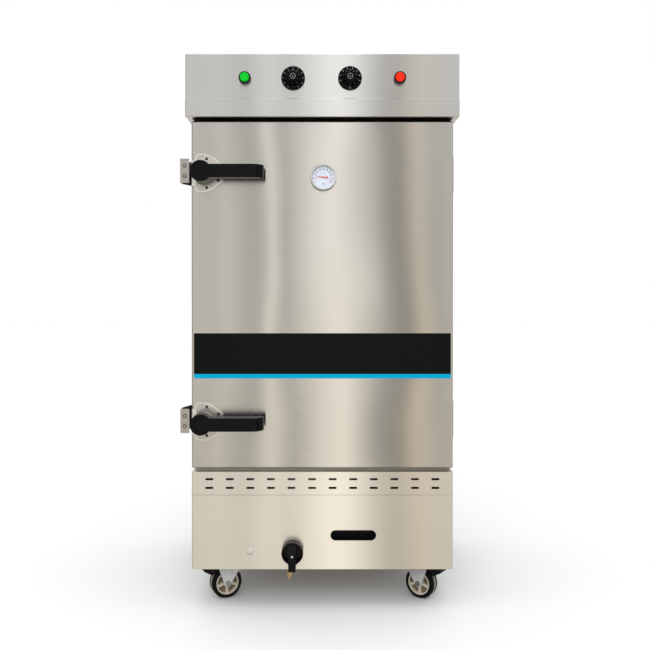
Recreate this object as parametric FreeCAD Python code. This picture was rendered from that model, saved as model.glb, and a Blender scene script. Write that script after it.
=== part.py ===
import FreeCAD, Part
import math
import os

# Rice steamer cabinet: an insulated steel chamber on a base compartment and four casters,
# with a hinged door, two lever latches and a control header.
# Millimetres. X to the right, Y into the depth, Z up.
# The origin is on the floor, under the centre of the base.

# Overall cabinet
BODY_W = 680.0
BODY_D = 600.0
CASTER_H = 104.0
BASE_H = 254.0
DOOR_SILL_GAP = 10.0
DOOR_H = 902.0
DOOR_HEAD_GAP = 6.5
HEADER_W = 705.0
BROW_H = 47.0
PANEL_H = 115.0

# Sheet thicknesses
SHEET = 1.2
LINER_SHEET = 1.0
TANK_SHEET = 1.5
WALL = 35.0
ROOF_WALL = 40.0
PAN_RETURN = 15.0
PAN_BEND = 2.5
HEADER_FOLD = 2.0
FIT = 0.3
SNUG = 0.1
RUNNING = 0.05

# Door
DOOR_T = 46.0
GASKET_GAP = 4.0
DOOR_BEND = 4.0
DOOR_CORNER = 3.0
LINER_RETURN = 12.0
LINER_EMBOSS = 2.5
LINER_CORNER = 2.0
EMBOSS_MARGIN = 10.0
GASKET_W = 16.0
GASKET_INSET = 3.5
GASKET_CORNER = 10.0
BAND_LIFT = 233.5
BAND_H = 117.5
BAND_MARGIN = 6.0
BAND_T = 0.5
BAND_CORNER = 2.0

# Chamber, tank and tray rails
TANK_RIM_LIFT = 34.0
TANK_DEPTH = 124.0
TANK_RIM_W = 16.0
STEAM_SLOT_L = 60.0
STEAM_SLOT_W = 9.0
STEAM_SLOT_COLS = 7
STEAM_SLOT_ROWS = 12
STEAM_SLOT_PITCH_X = 78.0
STEAM_SLOT_PITCH_Y = 34.0
TRAY_LEVELS = 10
TRAY_PITCH = 78.0
FIRST_RAIL_LIFT = 46.0
RAIL_W = 20.0
RAIL_H = 15.0
RAIL_SHEET = 1.5
RAIL_END_GAP = 17.0
POST_T = 3.0
POST_W = 25.0
POST_FRONT_INSET = 78.0
POST_BACK_INSET = 85.0
POST_END_GAP = 10.0

# Heating elements and their cover
ELEMENT_R = 5.5
ELEMENT_LEG_GAP = 36.0
ELEMENT_PITCH = 58.0
ELEMENT_COUNT = 3
ELEMENT_X = 80.0
ELEMENT_LIFT = 26.0
ELEMENT_LEN = 380.0
ELEMENT_STUB = 12.0
ELEMENT_NUT_W = 50.0
ELEMENT_NUT_H = 22.0
ELEMENT_NUT_T = 6.0
TERMINAL_BOX_W = 190.0
TERMINAL_BOX_H = 150.0
TERMINAL_BOX_DEPTH = 34.0
TERMINAL_BOX_RISE = 52.0

# Float box, water inlet, vent and cable gland at the back
FLOAT_BOX_W = 170.0
FLOAT_BOX_D = 86.0
FLOAT_BOX_H = 150.0
FLOAT_BOX_LIFT = 151.0
FLOAT_LID_H = 14.0
LINK_PIPE_R = 11.0
LINK_PIPE_BORE = 9.5
LINK_PIPE_DROP = 108.0
INLET_BORE = 6.5
INLET_R = 10.0
INLET_LEN = 28.0
INLET_NUT_R = 14.0
INLET_NUT_T = 6.0
INLET_DROP = 34.0
FLOAT_ARM_R = 2.5
FLOAT_ARM_LEN = 92.0
FLOAT_BALL_R = 30.0
FLOAT_HUB_R = 6.0
FLOAT_PIN_R = 2.5
FLOAT_TAIL = 10.0
FLOAT_DROOP_DEG = 26.0
STEAM_VENT_R = 12.5
STEAM_VENT_BORE = 11.0
STEAM_VENT_REACH = 34.0
STEAM_VENT_FLANGE_R = 26.0
STEAM_VENT_FLANGE_T = 2.0
STEAM_VENT_DROP = 70.0
GLAND_INSET = 102.5
GLAND_RISE = 70.0
GLAND_R = 13.0
GLAND_BORE = 7.0
GLAND_REACH = 26.0
GLAND_NUT_R = 16.0
GLAND_NUT_T = 6.0

# Base front
VENT_PANEL_H = 60.0
VENT_COLS = 12
VENT_PITCH = 53.5
VENT_L = 21.0
VENT_W = 5.7
VENT_ROW_DROPS = (19.0, 41.7)
SEAM = 0.6
SLOT_X = 80.6
SLOT_LIFT = 88.5
SLOT_L = 119.0
SLOT_H = 27.0
PLUG_X = -189.0
PLUG_LIFT = 46.0
PLUG_R = 9.0
PLUG_RIM_T = 1.0
PLUG_DOME = 3.5
PLUG_SHANK_R = 6.0
PLUG_SHANK_L = 9.0

# Drain cock
COCK_X = -77.5
COCK_LIFT = 48.3
COCK_COLLAR_R = 11.0
COCK_COLLAR_REACH = 5.0
COCK_NUT_R = 17.0
COCK_NUT_T = 4.0
COCK_BODY_R = 14.0
COCK_BODY_BACK = 54.0
COCK_STEM_R = 5.0
COCK_STEM_DEPTH = 18.0
COCK_TAIL_OFFSET = 36.0
COCK_TAIL_TILT_DEG = 7.2
COCK_TAIL_R = 4.3
COCK_TAIL_BORE = 3.0
COCK_TAIL_COLLAR_R = 6.8
COCK_TAIL_LEN = 86.0
COCK_TAIL_TIP = 9.6
COCK_TAIL_HOLE_R = 17.0
COCK_HANDLE_R = 28.0
COCK_HANDLE_STANDOFF = 6.5
COCK_HANDLE_T = 19.0
COCK_HANDLE_RIM = 3.5
COCK_HANDLE_POCKET = 13.0
COCK_BAR_W = 19.0
COCK_BAR_DROP = 39.3
COCK_BAR_PROUD = 26.0
COCK_BAR_SLOPE_FROM = 4.5
COCK_BAR_CORNER = 3.0
COCK_BAR_EDGE = 1.5
COCK_SCREW_R = 2.6
COCK_SCREW_T = 1.6
COCK_SCREW_WELL = 2.0
DRAIN_PIPE_R = 10.5
DRAIN_PIPE_BORE = 9.0
DRAIN_PIPE_BEND = 26.0
DRAIN_PIPE_BACK = 46.0

# Header and its controls
PANEL_LEAD = 20.0
BROW_LEAD = 24.0
CONTROL_DROP = 63.0
LAMP_X = 199.0
TIMER_X = -75.0
THERMOSTAT_X = 71.0
LAMP_BEZEL_R = 15.5
LAMP_BEZEL_T = 13.0
LAMP_LENS_R = 11.8
LAMP_LENS_REACH = 19.0
LAMP_LENS_EDGE = 3.0
LAMP_LENS_PLUG = 6.0
LAMP_LENS_STEP = 2.0
LAMP_THREAD_R = 10.8
LAMP_BODY_R = 14.0
LAMP_BODY_L = 38.0
LAMP_BORE = 8.0
KNOB_SKIRT_R = 30.5
KNOB_SKIRT_T = 3.0
KNOB_GAP = 3.0
KNOB_DOME_R = 21.0
KNOB_TOP_R = 12.0
KNOB_TOP_RING_W = 1.0
KNOB_CUP_DEPTH = 2.0
KNOB_EYE_RING_W = 1.0
KNOB_REACH = 24.0
KNOB_EYE_R = 6.0
KNOB_EYE_DEPTH = 4.0
KNOB_FLUTES = 10
KNOB_FLUTE_R = 2.2
KNOB_FLUTE_FOOT_OUT = 0.8
KNOB_FLUTE_HEAD_OUT = 2.4
KNOB_FLUTE_FOOT_LIFT = 1.5
KNOB_SKIRT_BEVEL = 1.0
KNOB_DOME_SAG = 2.5
KNOB_DOME_BEND_RISE = 14.4
SHAFT_R = 3.0
BUSH_R = 5.0
UNIT_W = 48.0
UNIT_D = 42.0
CONTACTOR_W = 75.0
CONTACTOR_D = 90.0
CONTACTOR_H = 82.0
CONTACTOR_BASE_H = 49.2
CONTACTOR_X = 130.0
CONTACTOR_Y = 80.0

# Thermometer on the door
GAUGE_X = 2.8
GAUGE_LIFT = 755.0
GAUGE_R = 33.5
GAUGE_T = 18.0
GAUGE_WALL = 2.0
GAUGE_LIP = 1.3
GAUGE_LIP_T = 1.5
GAUGE_RIM_EDGE = 1.2
GAUGE_BORE_START = 1.0
GAUGE_NEEDLE_LIFT = 1.5
GAUGE_BACK_T = 3.0
GAUGE_DIAL_T = 0.6
GAUGE_DIAL_DEPTH = 9.5
GAUGE_SEAT = 2.5
GAUGE_GLASS_T = 1.5
GAUGE_SPINDLE_R = 1.5
GAUGE_SPINDLE_BOSS_R = 4.0
GAUGE_SPINDLE_BOSS_T = 3.0
GAUGE_NEEDLE_T = 0.8
GAUGE_NEEDLE_LEN = 18.0
GAUGE_NEEDLE_W = 2.2
GAUGE_TAIL_LEN = 9.0
GAUGE_BALL_R = 2.4
GAUGE_NEEDLE_TILT_DEG = 6.0
GAUGE_STEM_R = 3.5
GAUGE_STEM_REACH = 16.0
GAUGE_NUT_R = 9.0
GAUGE_NUT_T = 4.0

# Door latches
LATCH_INSET = 31.8
LATCH_LIFTS = (123.0, 765.5)
LATCH_PLATE_LEFT = 20.5
LATCH_PLATE_RIGHT = 50.2
LATCH_CORNER_IN = 2.5
LATCH_CORNER_DOWN = 4.5
LATCH_SHOULDER_X = 27.6
LATCH_SHOULDER_DOWN = 10.0
LATCH_PLATE_HALF_H = 50.0
LATCH_LEFT_HALF_H = 38.0
LATCH_TIP_HALF_H = 16.0
LATCH_PLATE_T = 9.0
LATCH_FLOOR_T = 5.0
LATCH_RIM_W = 3.5
LATCH_BOSS_R = 18.0
LATCH_BOSS_T = 27.0
LATCH_BOSS_FLARE = 3.0
LATCH_NOSE_HALF_H = 33.0
LATCH_NOSE_T = 12.0
LATCH_NOSE_INSET = 1.0
LATCH_NOSE_EDGE = 3.0
LATCH_SCREWS = ((8.7, 37.0), (38.4, 18.5), (38.4, -18.5), (8.7, -37.0))
LATCH_SCREW_PAD_R = 6.5
LATCH_SCREW_PAD_T = 7.0
LATCH_SHAFT_R = 6.0
LATCH_SHAFT_DEPTH = 22.0
LATCH_CAM_R = 22.0
LATCH_CAM_T = 2.2
LATCH_CAM_GAP = 0.6
LATCH_HANDLE_T = 35.0
LATCH_KNOB_R = 27.0
LATCH_KNOB_RING_R = 19.0
LATCH_KNOB_RING_W = 1.2
LATCH_KNOB_RING_DEPTH = 0.8
LEVER_REACH = 158.5
LEVER_H = 34.0
LEVER_T = 34.0
LEVER_RETURN = 36.0
LEVER_END_T = 13.0
LEVER_END_BEND = 31.0
LEVER_WALL = 4.0
LEVER_HOLLOW = 25.0
LEVER_EDGE = 1.5
LATCH_KNOB_EDGE = 2.5

# Strike brackets on the cabinet side
STRIKE_H = 62.0
STRIKE_RISE = 4.0
STRIKE_T = 2.5
STRIKE_GAP = 1.5
STRIKE_TAB_W = 23.0
STRIKE_LEAD = 28.0
STRIKE_WEB = 30.0
STRIKE_SLANT = 58.0
STRIKE_FLANGE = 48.0
STRIKE_SCREW_PITCH = 26.5
STRIKE_SHANK_R = 2.0
STRIKE_HEAD_R = 4.2
STRIKE_HEAD_T = 2.4
STRIKE_RIVET_ROUND = 1.44
STRIKE_BOLT_ROUND = 1.92
STRIKE_NUT_T = 3.0

# Door hinges
HINGE_LIFTS = (120.0, 767.0)
HINGE_H = 95.0
HINGE_MIDDLE_H = 36.0
HINGE_KNUCKLE_R = 4.0
HINGE_PIN_R = 2.0
HINGE_LEAF_T = 2.0
HINGE_LEAF_W = 30.0
HINGE_KNUCKLE_GAP = 0.3
HINGE_SCREW_R = 3.6
HINGE_SCREW_T = 1.2
HINGE_SCREW_ROUND = 0.84
HINGE_SCREW_PITCH = 34.2
HINGE_WEB_LAP = 0.5

# Small countersunk screws
SCREW_SHANK_R = 2.0
SCREW_HEAD_R = 4.4
SCREW_HEAD_T = 2.2
SCREW_TAIL = 4.0

# Casters
CASTER_INSET_X = 94.0
CASTER_INSET_Y = 99.0
CASTER_SHIFT_X = 4.0
CASTER_TRAIL = 22.0
CASTER_HEADINGS_DEG = {"front_left": 25.0, "front_right": 146.0, "rear_left": -20.0, "rear_right": 200.0}
WHEEL_R = 41.5
TYRE_W = 31.0
TYRE_T = 10.5
TYRE_SHOULDER = 5.0
HUB_W = 34.0
HUB_R = 11.0
HUB_WEB_T = 10.0
HUB_RIM_T = 3.0
HUB_RIM_LIP = 0.6
HUB_SPOKES = 5
HUB_SPOKE_W = 7.0
HUB_FIRST_SPOKE_DEG = 90.0
HUB_SPOKE_T = 22.0
AXLE_R = 4.0
AXLE_HEAD_R = 7.0
AXLE_HEAD_T = 4.5
AXLE_HEAD_EDGE = 1.2
FORK_SHEET = 2.5
FORK_GAP = 17.8
FORK_CROWN_Z = 84.0
FORK_CROWN_T = 3.0
FORK_BACK = 46.0
FORK_FRONT = 24.0
FORK_LEG_FRONT = 13.0
FORK_CROWN_BACK = 26.0
FORK_LOBE_Z = 93.0
FORK_LOBE_FRONT = 28.0
FORK_SHOULDER = 8.0
FORK_FOOT_R = 10.0
FORK_RIB_TOP_W = 18.0
FORK_RIB_FOOT_W = 14.0
FORK_RIB_DROP = 4.0
FORK_RIB_T = 1.2
SWIVEL_CUP_R = 25.0
SWIVEL_CUP_T = 4.0
SWIVEL_GAP = 0.4
SWIVEL_PLATE_T = 4.0
SWIVEL_PLATE_L = 92.0
SWIVEL_PLATE_W = 64.0
SWIVEL_PLATE_CORNER = 6.0
SWIVEL_BOLT_L = 74.0
SWIVEL_BOLT_W = 46.0
SWIVEL_BOLT_R = 4.0
SWIVEL_BOLT_HEAD_R = 6.5
SWIVEL_BOLT_HEAD_T = 4.0
KINGPIN_R = 5.0
KINGPIN_HEAD_R = 7.5
KINGPIN_HEAD_T = 2.0
PEDAL_PIVOT_X = 34.0
PEDAL_PIVOT_Z = 88.0
PEDAL_PIN_R = 2.5
PEDAL_HUB_R = 4.6
PEDAL_HALF_W = 17.0
PEDAL_TIP_X = 87.0
PEDAL_TIP_DROP = 8.0
PEDAL_HEEL_X = 63.0
PEDAL_HEEL_L = 4.0
PEDAL_HEEL_DROP = 19.5
PEDAL_WEB_X = 54.0
PEDAL_WEB_DROP = 11.0
PEDAL_ROOT_DROP = 5.0


# Places worked out from the sizes above
FRONT = -BODY_D / 2
BACK = BODY_D / 2
SIDE = BODY_W / 2
SIDE_IN = SIDE - SHEET
BASE_BOTTOM = CASTER_H
BASE_TOP = BASE_BOTTOM + BASE_H
DOOR_BOTTOM = BASE_TOP + DOOR_SILL_GAP
DOOR_TOP = DOOR_BOTTOM + DOOR_H
HEADER_BOTTOM = DOOR_TOP + DOOR_HEAD_GAP
BROW_TOP = HEADER_BOTTOM + BROW_H
HEADER_TOP = BROW_TOP + PANEL_H
DOOR_BACK = FRONT + DOOR_T
BODY_FRONT = DOOR_BACK + GASKET_GAP
FRAME_BACK = BODY_FRONT + SHEET
CHAMBER_SIDE = SIDE - WALL
CHAMBER_BACK = BACK - WALL
CHAMBER_TOP = HEADER_BOTTOM - ROOF_WALL
TANK_TOP = BASE_TOP + TANK_RIM_LIFT
TANK_BOTTOM = TANK_TOP - TANK_DEPTH
TANK_SIDE = CHAMBER_SIDE - TANK_RIM_W
TANK_FRONT = FRAME_BACK + TANK_RIM_W
TANK_BACK = CHAMBER_BACK - TANK_RIM_W
COVER_TOP = TANK_TOP + TANK_SHEET
HEADER_SIDE = HEADER_W / 2
GLAND_X = HEADER_SIDE - GLAND_INSET
LATCH_X = -SIDE + LATCH_INSET
PANEL_FRONT = FRONT - PANEL_LEAD
BROW_FRONT = FRONT - BROW_LEAD
CONTROL_Z = HEADER_TOP - CONTROL_DROP
HINGE_X = SIDE + HINGE_KNUCKLE_R + FIT
HINGE_Y = DOOR_BACK + GASKET_GAP / 2
AXLE_Z = WHEEL_R
COCK_Z = BASE_BOTTOM + COCK_LIFT
GAUGE_Z = DOOR_BOTTOM + GAUGE_LIFT
KNUCKLE_REACH = HINGE_KNUCKLE_R + FIT


def vec(x, y, z):
    return FreeCAD.Vector(x, y, z)


def box(x0, x1, y0, y1, z0, z1):
    return Part.makeBox(x1 - x0, y1 - y0, z1 - z0, vec(x0, y0, z0))


def rod_x(y, z, radius, x0, x1):
    return Part.makeCylinder(radius, x1 - x0, vec(x0, y, z), vec(1, 0, 0))


def rod_y(x, z, radius, y0, y1):
    return Part.makeCylinder(radius, y1 - y0, vec(x, y0, z), vec(0, 1, 0))


def rod_z(x, y, radius, z0, z1):
    return Part.makeCylinder(radius, z1 - z0, vec(x, y, z0), vec(0, 0, 1))


def cone_y(x, z, r0, r1, y0, y1):
    return Part.makeCone(r0, r1, y1 - y0, vec(x, y0, z), vec(0, 1, 0))


def outward(x, z, radius, start, end, plane=FRONT):
    """A rod square to a front face, from one distance in front of it to another."""
    return rod_y(x, z, radius, plane - end, plane - start)


def fuse(first, *others):
    return first.fuse(list(others)).removeSplitter()


def cut(first, *others):
    return first.cut(list(others)).removeSplitter()


def prism(points, direction):
    """A straight-sided solid on a closed outline."""
    wire = Part.makePolygon(list(points) + [points[0]])
    return Part.Face(wire).extrude(direction)


def plate_on_yz(points, x0, x1):
    return prism([vec(x0, y, z) for y, z in points], vec(x1 - x0, 0, 0))


def plate_on_xy(points, z0, z1):
    return prism([vec(x, y, z0) for x, y in points], vec(0, 0, z1 - z0))


def edges_along(shape, axis, test):
    """The straight edges of a shape that run along an axis and pass a test at their middle."""
    found = []
    for edge in shape.Edges:
        if edge.Curve.TypeId != "Part::GeomLine":
            continue
        if abs(abs(edge.tangentAt(edge.FirstParameter).dot(axis)) - 1.0) < 1e-6:
            if test(edge.CenterOfMass):
                found.append(edge)
    return found


def round_edges(shape, radius, axis, test=lambda middle: True):
    return shape.makeFillet(radius, edges_along(shape, axis, test))


def obround_y(x, z, length, width, y0, y1):
    """A slot with round ends, long along X, through a sheet square to Y."""
    half = (length - width) / 2
    bar = box(x - half, x + half, y0, y1, z - width / 2, z + width / 2)
    return fuse(bar, rod_y(x - half, z, width / 2, y0, y1), rod_y(x + half, z, width / 2, y0, y1))


def pipe(points, bend, radius):
    """A round bar along straight runs joined by tangent arcs."""
    edges = []
    here = points[0]
    for corner, after in zip(points[1:-1], points[2:]):
        into = (corner - here).normalize()
        away = (after - corner).normalize()
        turn = math.acos(max(-1.0, min(1.0, into.dot(away))))
        setback = bend * math.tan(turn / 2)
        start = corner - into * setback
        end = corner + away * setback
        inside = (away - into).normalize()
        middle = corner + inside * (bend / math.cos(turn / 2) - bend)
        edges.append(Part.LineSegment(here, start).toShape())
        edges.append(Part.Arc(start, middle, end).toShape())
        here = end
    edges.append(Part.LineSegment(here, points[-1]).toShape())
    path = Part.Wire(edges)
    first = (points[1] - points[0]).normalize()
    ring = Part.Wire(Part.makeCircle(radius, points[0], first))
    return path.makePipeShell([ring], True, True)


def pan(width, z0, z1, front, bend):
    """A sheet panel across the front with its two sides bent back."""
    half = width / 2
    outer = box(-half, half, front, front + PAN_RETURN, z0, z1)
    outer = round_edges(outer, bend, vec(0, 0, 1), lambda p: p.y < front + SHEET)
    inner = box(-half + SHEET, half - SHEET, front + SHEET, front + 2 * PAN_RETURN, z0 - 1, z1 + 1)
    inner = round_edges(inner, bend - SHEET, vec(0, 0, 1), lambda p: p.y < front + PAN_RETURN)
    return cut(outer, inner)


def screw(x, z, plane, head_depth, length):
    """A countersunk screw driven into the depth, its head flush at head_depth off the plane."""
    head = cone_y(x, z, SCREW_HEAD_R, SCREW_SHANK_R, plane - head_depth, plane - head_depth + SCREW_HEAD_T)
    shank = rod_y(x, z, SCREW_SHANK_R, plane - head_depth + SCREW_HEAD_T, plane - head_depth + length)
    recess_depth = SCREW_HEAD_T / 2
    recess = box(x - SCREW_SHANK_R, x + SCREW_SHANK_R, plane - head_depth - 1,
                 plane - head_depth + recess_depth, z - SCREW_HEAD_T / 4, z + SCREW_HEAD_T / 4)
    return cut(fuse(head, shank), recess)


# Cabinet body


def side_panel(sign):
    front = FRONT + PAN_RETURN
    outline = [(front, BASE_BOTTOM), (BACK, BASE_BOTTOM), (BACK, HEADER_BOTTOM),
               (BODY_FRONT, HEADER_BOTTOM), (BODY_FRONT, BASE_TOP), (front, BASE_TOP)]
    x0, x1 = sorted((sign * SIDE, sign * SIDE_IN))
    return plate_on_yz(outline, x0, x1)


def back_panel():
    sheet = box(-SIDE_IN, SIDE_IN, BACK - SHEET, BACK, BASE_BOTTOM, HEADER_BOTTOM)
    through = (BACK - 2 * SHEET, BACK + SHEET)
    link = rod_y(0, link_pipe_z(), LINK_PIPE_R + SNUG, *through)
    vent = rod_y(0, steam_vent_z(), STEAM_VENT_R + SNUG, *through)
    return cut(sheet, link, vent)


def door_frame():
    sheet = box(-SIDE_IN, SIDE_IN, BODY_FRONT, FRAME_BACK, BASE_TOP, HEADER_BOTTOM)
    opening = box(-CHAMBER_SIDE, CHAMBER_SIDE, BODY_FRONT - 1, FRAME_BACK + 1, TANK_TOP, CHAMBER_TOP)
    return cut(sheet, opening)


def liner_wrap():
    outer = box(-CHAMBER_SIDE - LINER_SHEET, CHAMBER_SIDE + LINER_SHEET, FRAME_BACK,
                CHAMBER_BACK + LINER_SHEET, TANK_TOP, CHAMBER_TOP)
    inner = box(-CHAMBER_SIDE, CHAMBER_SIDE, FRAME_BACK - 1, CHAMBER_BACK, TANK_TOP - 1, CHAMBER_TOP + 1)
    vent = rod_y(0, steam_vent_z(), STEAM_VENT_R + SNUG, CHAMBER_BACK - 1, CHAMBER_BACK + 2 * LINER_SHEET)
    return cut(outer, inner, vent)


def liner_top():
    return box(-CHAMBER_SIDE - LINER_SHEET, CHAMBER_SIDE + LINER_SHEET, FRAME_BACK,
               CHAMBER_BACK + LINER_SHEET, CHAMBER_TOP, CHAMBER_TOP + LINER_SHEET)


def wall_insulation():
    outer = box(-SIDE_IN, SIDE_IN, FRAME_BACK, BACK - SHEET, BASE_TOP, HEADER_BOTTOM)
    room = box(-CHAMBER_SIDE - LINER_SHEET, CHAMBER_SIDE + LINER_SHEET, FRAME_BACK - 1,
               CHAMBER_BACK + LINER_SHEET, BASE_TOP - 1, CHAMBER_TOP + LINER_SHEET)
    vent = rod_y(0, steam_vent_z(), STEAM_VENT_R + SNUG, CHAMBER_BACK, BACK)
    return cut(outer, room, vent)


def steam_vent_z():
    return CHAMBER_TOP - STEAM_VENT_DROP


def steam_vent():
    z = steam_vent_z()
    tube = rod_y(0, z, STEAM_VENT_R, CHAMBER_BACK, BACK + STEAM_VENT_REACH)
    flange = rod_y(0, z, STEAM_VENT_FLANGE_R, BACK, BACK + STEAM_VENT_FLANGE_T)
    bore = rod_y(0, z, STEAM_VENT_BORE, CHAMBER_BACK - 1, BACK + STEAM_VENT_REACH + 1)
    return cut(fuse(tube, flange), bore)


# Trays ride on rails that hang on two posts each side


def rail_z(level):
    return COVER_TOP + FIRST_RAIL_LIFT + level * TRAY_PITCH


def tray_rack(sign):
    wall = sign * CHAMBER_SIDE
    face = sign * (CHAMBER_SIDE - POST_T)
    z0 = COVER_TOP + POST_END_GAP
    z1 = CHAMBER_TOP - POST_END_GAP
    solids = []
    for y in (FRAME_BACK + POST_FRONT_INSET, CHAMBER_BACK - POST_BACK_INSET):
        x0, x1 = sorted((wall, face))
        solids.append(box(x0, x1, y - POST_W / 2, y + POST_W / 2, z0, z1))
    for level in range(TRAY_LEVELS):
        solids.append(rail(sign, face, rail_z(level)))
    return solids


def rail(sign, face, z):
    """An angle with its foot pointing into the chamber."""
    y0 = FRAME_BACK + RAIL_END_GAP
    y1 = CHAMBER_BACK - RAIL_END_GAP
    tip = face - sign * RAIL_W
    inner = face - sign * RAIL_SHEET
    foot = box(min(face, tip), max(face, tip), y0, y1, z, z + RAIL_SHEET)
    upright = box(min(face, inner), max(face, inner), y0, y1, z, z + RAIL_H)
    return fuse(foot, upright)


# Water tank, its perforated cover and the heating elements


def water_tank():
    rim = box(-CHAMBER_SIDE - LINER_SHEET, CHAMBER_SIDE + LINER_SHEET, FRAME_BACK,
              CHAMBER_BACK + LINER_SHEET, TANK_TOP - TANK_SHEET, TANK_TOP)
    outer = box(-TANK_SIDE, TANK_SIDE, TANK_FRONT, TANK_BACK, TANK_BOTTOM, TANK_TOP)
    inner = box(-TANK_SIDE + TANK_SHEET, TANK_SIDE - TANK_SHEET, TANK_FRONT + TANK_SHEET,
                TANK_BACK - TANK_SHEET, TANK_BOTTOM + TANK_SHEET, TANK_TOP + 1)
    through = (TANK_FRONT - 1, TANK_FRONT + 2 * TANK_SHEET)
    holes = [rod_y(x, element_z(), ELEMENT_R + SNUG, *through) for x in element_leg_xs()]
    drain = rod_z(COCK_X, drain_pipe_y(), DRAIN_PIPE_BORE, TANK_BOTTOM - 1, TANK_BOTTOM + 2 * TANK_SHEET)
    link = rod_y(0, link_pipe_z(), LINK_PIPE_R + SNUG, TANK_BACK - 2 * TANK_SHEET, TANK_BACK + 1)
    return cut(fuse(rim, outer), inner, drain, link, *holes)


def steam_cover():
    plate = box(-CHAMBER_SIDE + SNUG, CHAMBER_SIDE - SNUG, FRAME_BACK + SNUG, CHAMBER_BACK - SNUG,
                TANK_TOP, COVER_TOP)
    slots = []
    middle_y = (TANK_FRONT + TANK_BACK) / 2
    for column in range(STEAM_SLOT_COLS):
        x = (column - (STEAM_SLOT_COLS - 1) / 2) * STEAM_SLOT_PITCH_X
        for row in range(STEAM_SLOT_ROWS):
            y = middle_y + (row - (STEAM_SLOT_ROWS - 1) / 2) * STEAM_SLOT_PITCH_Y
            slots.append(box(x - STEAM_SLOT_L / 2, x + STEAM_SLOT_L / 2, y - STEAM_SLOT_W / 2,
                             y + STEAM_SLOT_W / 2, TANK_TOP - 1, COVER_TOP + 1))
    return cut(plate, *slots)


def element_z():
    return TANK_BOTTOM + ELEMENT_LIFT


def element_xs():
    return [ELEMENT_X + (i - (ELEMENT_COUNT - 1) / 2) * ELEMENT_PITCH for i in range(ELEMENT_COUNT)]


def element_leg_xs():
    return [x + side * ELEMENT_LEG_GAP / 2 for x in element_xs() for side in (-1, 1)]


def heating_element(x):
    """A hairpin tube through the tank's front wall, with its flange nut outside."""
    half = ELEMENT_LEG_GAP / 2
    z = element_z()
    start = TANK_FRONT - ELEMENT_NUT_T - ELEMENT_STUB
    turn = TANK_FRONT + ELEMENT_LEN
    left = Part.LineSegment(vec(x - half, start, z), vec(x - half, turn, z)).toShape()
    bend = Part.Arc(vec(x - half, turn, z), vec(x, turn + half, z), vec(x + half, turn, z)).toShape()
    right = Part.LineSegment(vec(x + half, turn, z), vec(x + half, start, z)).toShape()
    ring = Part.Wire(Part.makeCircle(ELEMENT_R, vec(x - half, start, z), vec(0, 1, 0)))
    tube = Part.Wire([left, bend, right]).makePipeShell([ring], True, True)
    nut = box(x - ELEMENT_NUT_W / 2, x + ELEMENT_NUT_W / 2, TANK_FRONT - ELEMENT_NUT_T, TANK_FRONT,
              z - ELEMENT_NUT_H / 2, z + ELEMENT_NUT_H / 2)
    return fuse(tube, nut)


def terminal_box():
    """A cover over the element ends, hung on the tank's front wall."""
    half = TERMINAL_BOX_W / 2
    top = TANK_BOTTOM + TERMINAL_BOX_RISE
    outer = box(ELEMENT_X - half, ELEMENT_X + half, TANK_FRONT - TERMINAL_BOX_DEPTH, TANK_FRONT,
                top - TERMINAL_BOX_H, top)
    inner = box(ELEMENT_X - half + SHEET, ELEMENT_X + half - SHEET, TANK_FRONT - TERMINAL_BOX_DEPTH + SHEET,
                TANK_FRONT + 1, top - TERMINAL_BOX_H + SHEET, top - SHEET)
    return cut(outer, inner)


# Float box behind the cabinet


def link_pipe_z():
    return BASE_BOTTOM + FLOAT_BOX_LIFT + FLOAT_BOX_H - LINK_PIPE_DROP


def float_box_place():
    z0 = BASE_BOTTOM + FLOAT_BOX_LIFT
    return (-FLOAT_BOX_W / 2, FLOAT_BOX_W / 2, BACK, BACK + FLOAT_BOX_D, z0, z0 + FLOAT_BOX_H)


def float_pivot():
    x0, _, y0, y1, _, z1 = float_box_place()
    return vec(x0 + SHEET + FLOAT_TAIL, (y0 + y1) / 2, z1 - INLET_DROP)


def float_box():
    x0, x1, y0, y1, z0, z1 = float_box_place()
    outer = box(x0, x1, y0, y1, z0, z1)
    inner = box(x0 + SHEET, x1 - SHEET, y0 + SHEET, y1 - SHEET, z0 + SHEET, z1 + 1)
    pivot = float_pivot()
    inlet_hole = rod_x(pivot.y, inlet_z(), INLET_R + SNUG, x0 - 1, x0 + 2 * SHEET)
    link_hole = rod_y(0, link_pipe_z(), LINK_PIPE_BORE, y0 - 1, y0 + 2 * SHEET)
    shell = cut(outer, inner, inlet_hole, link_hole)
    lid_outer = box(x0 - SHEET - SNUG, x1 + SHEET + SNUG, y0, y1 + SHEET + SNUG,
                    z1 - FLOAT_LID_H, z1 + SHEET)
    lid_inner = box(x0 - SNUG, x1 + SNUG, y0 - 1, y1 + SNUG, z1 - FLOAT_LID_H - 1, z1)
    lid = cut(lid_outer, lid_inner)
    link = cut(rod_y(0, link_pipe_z(), LINK_PIPE_R, TANK_BACK - TANK_SHEET, BACK),
               rod_y(0, link_pipe_z(), LINK_PIPE_BORE, TANK_BACK - 2 * TANK_SHEET, BACK + 1))
    return [shell, lid, link]


def inlet_z():
    return float_pivot().z - FLOAT_HUB_R - INLET_R - FIT


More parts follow.
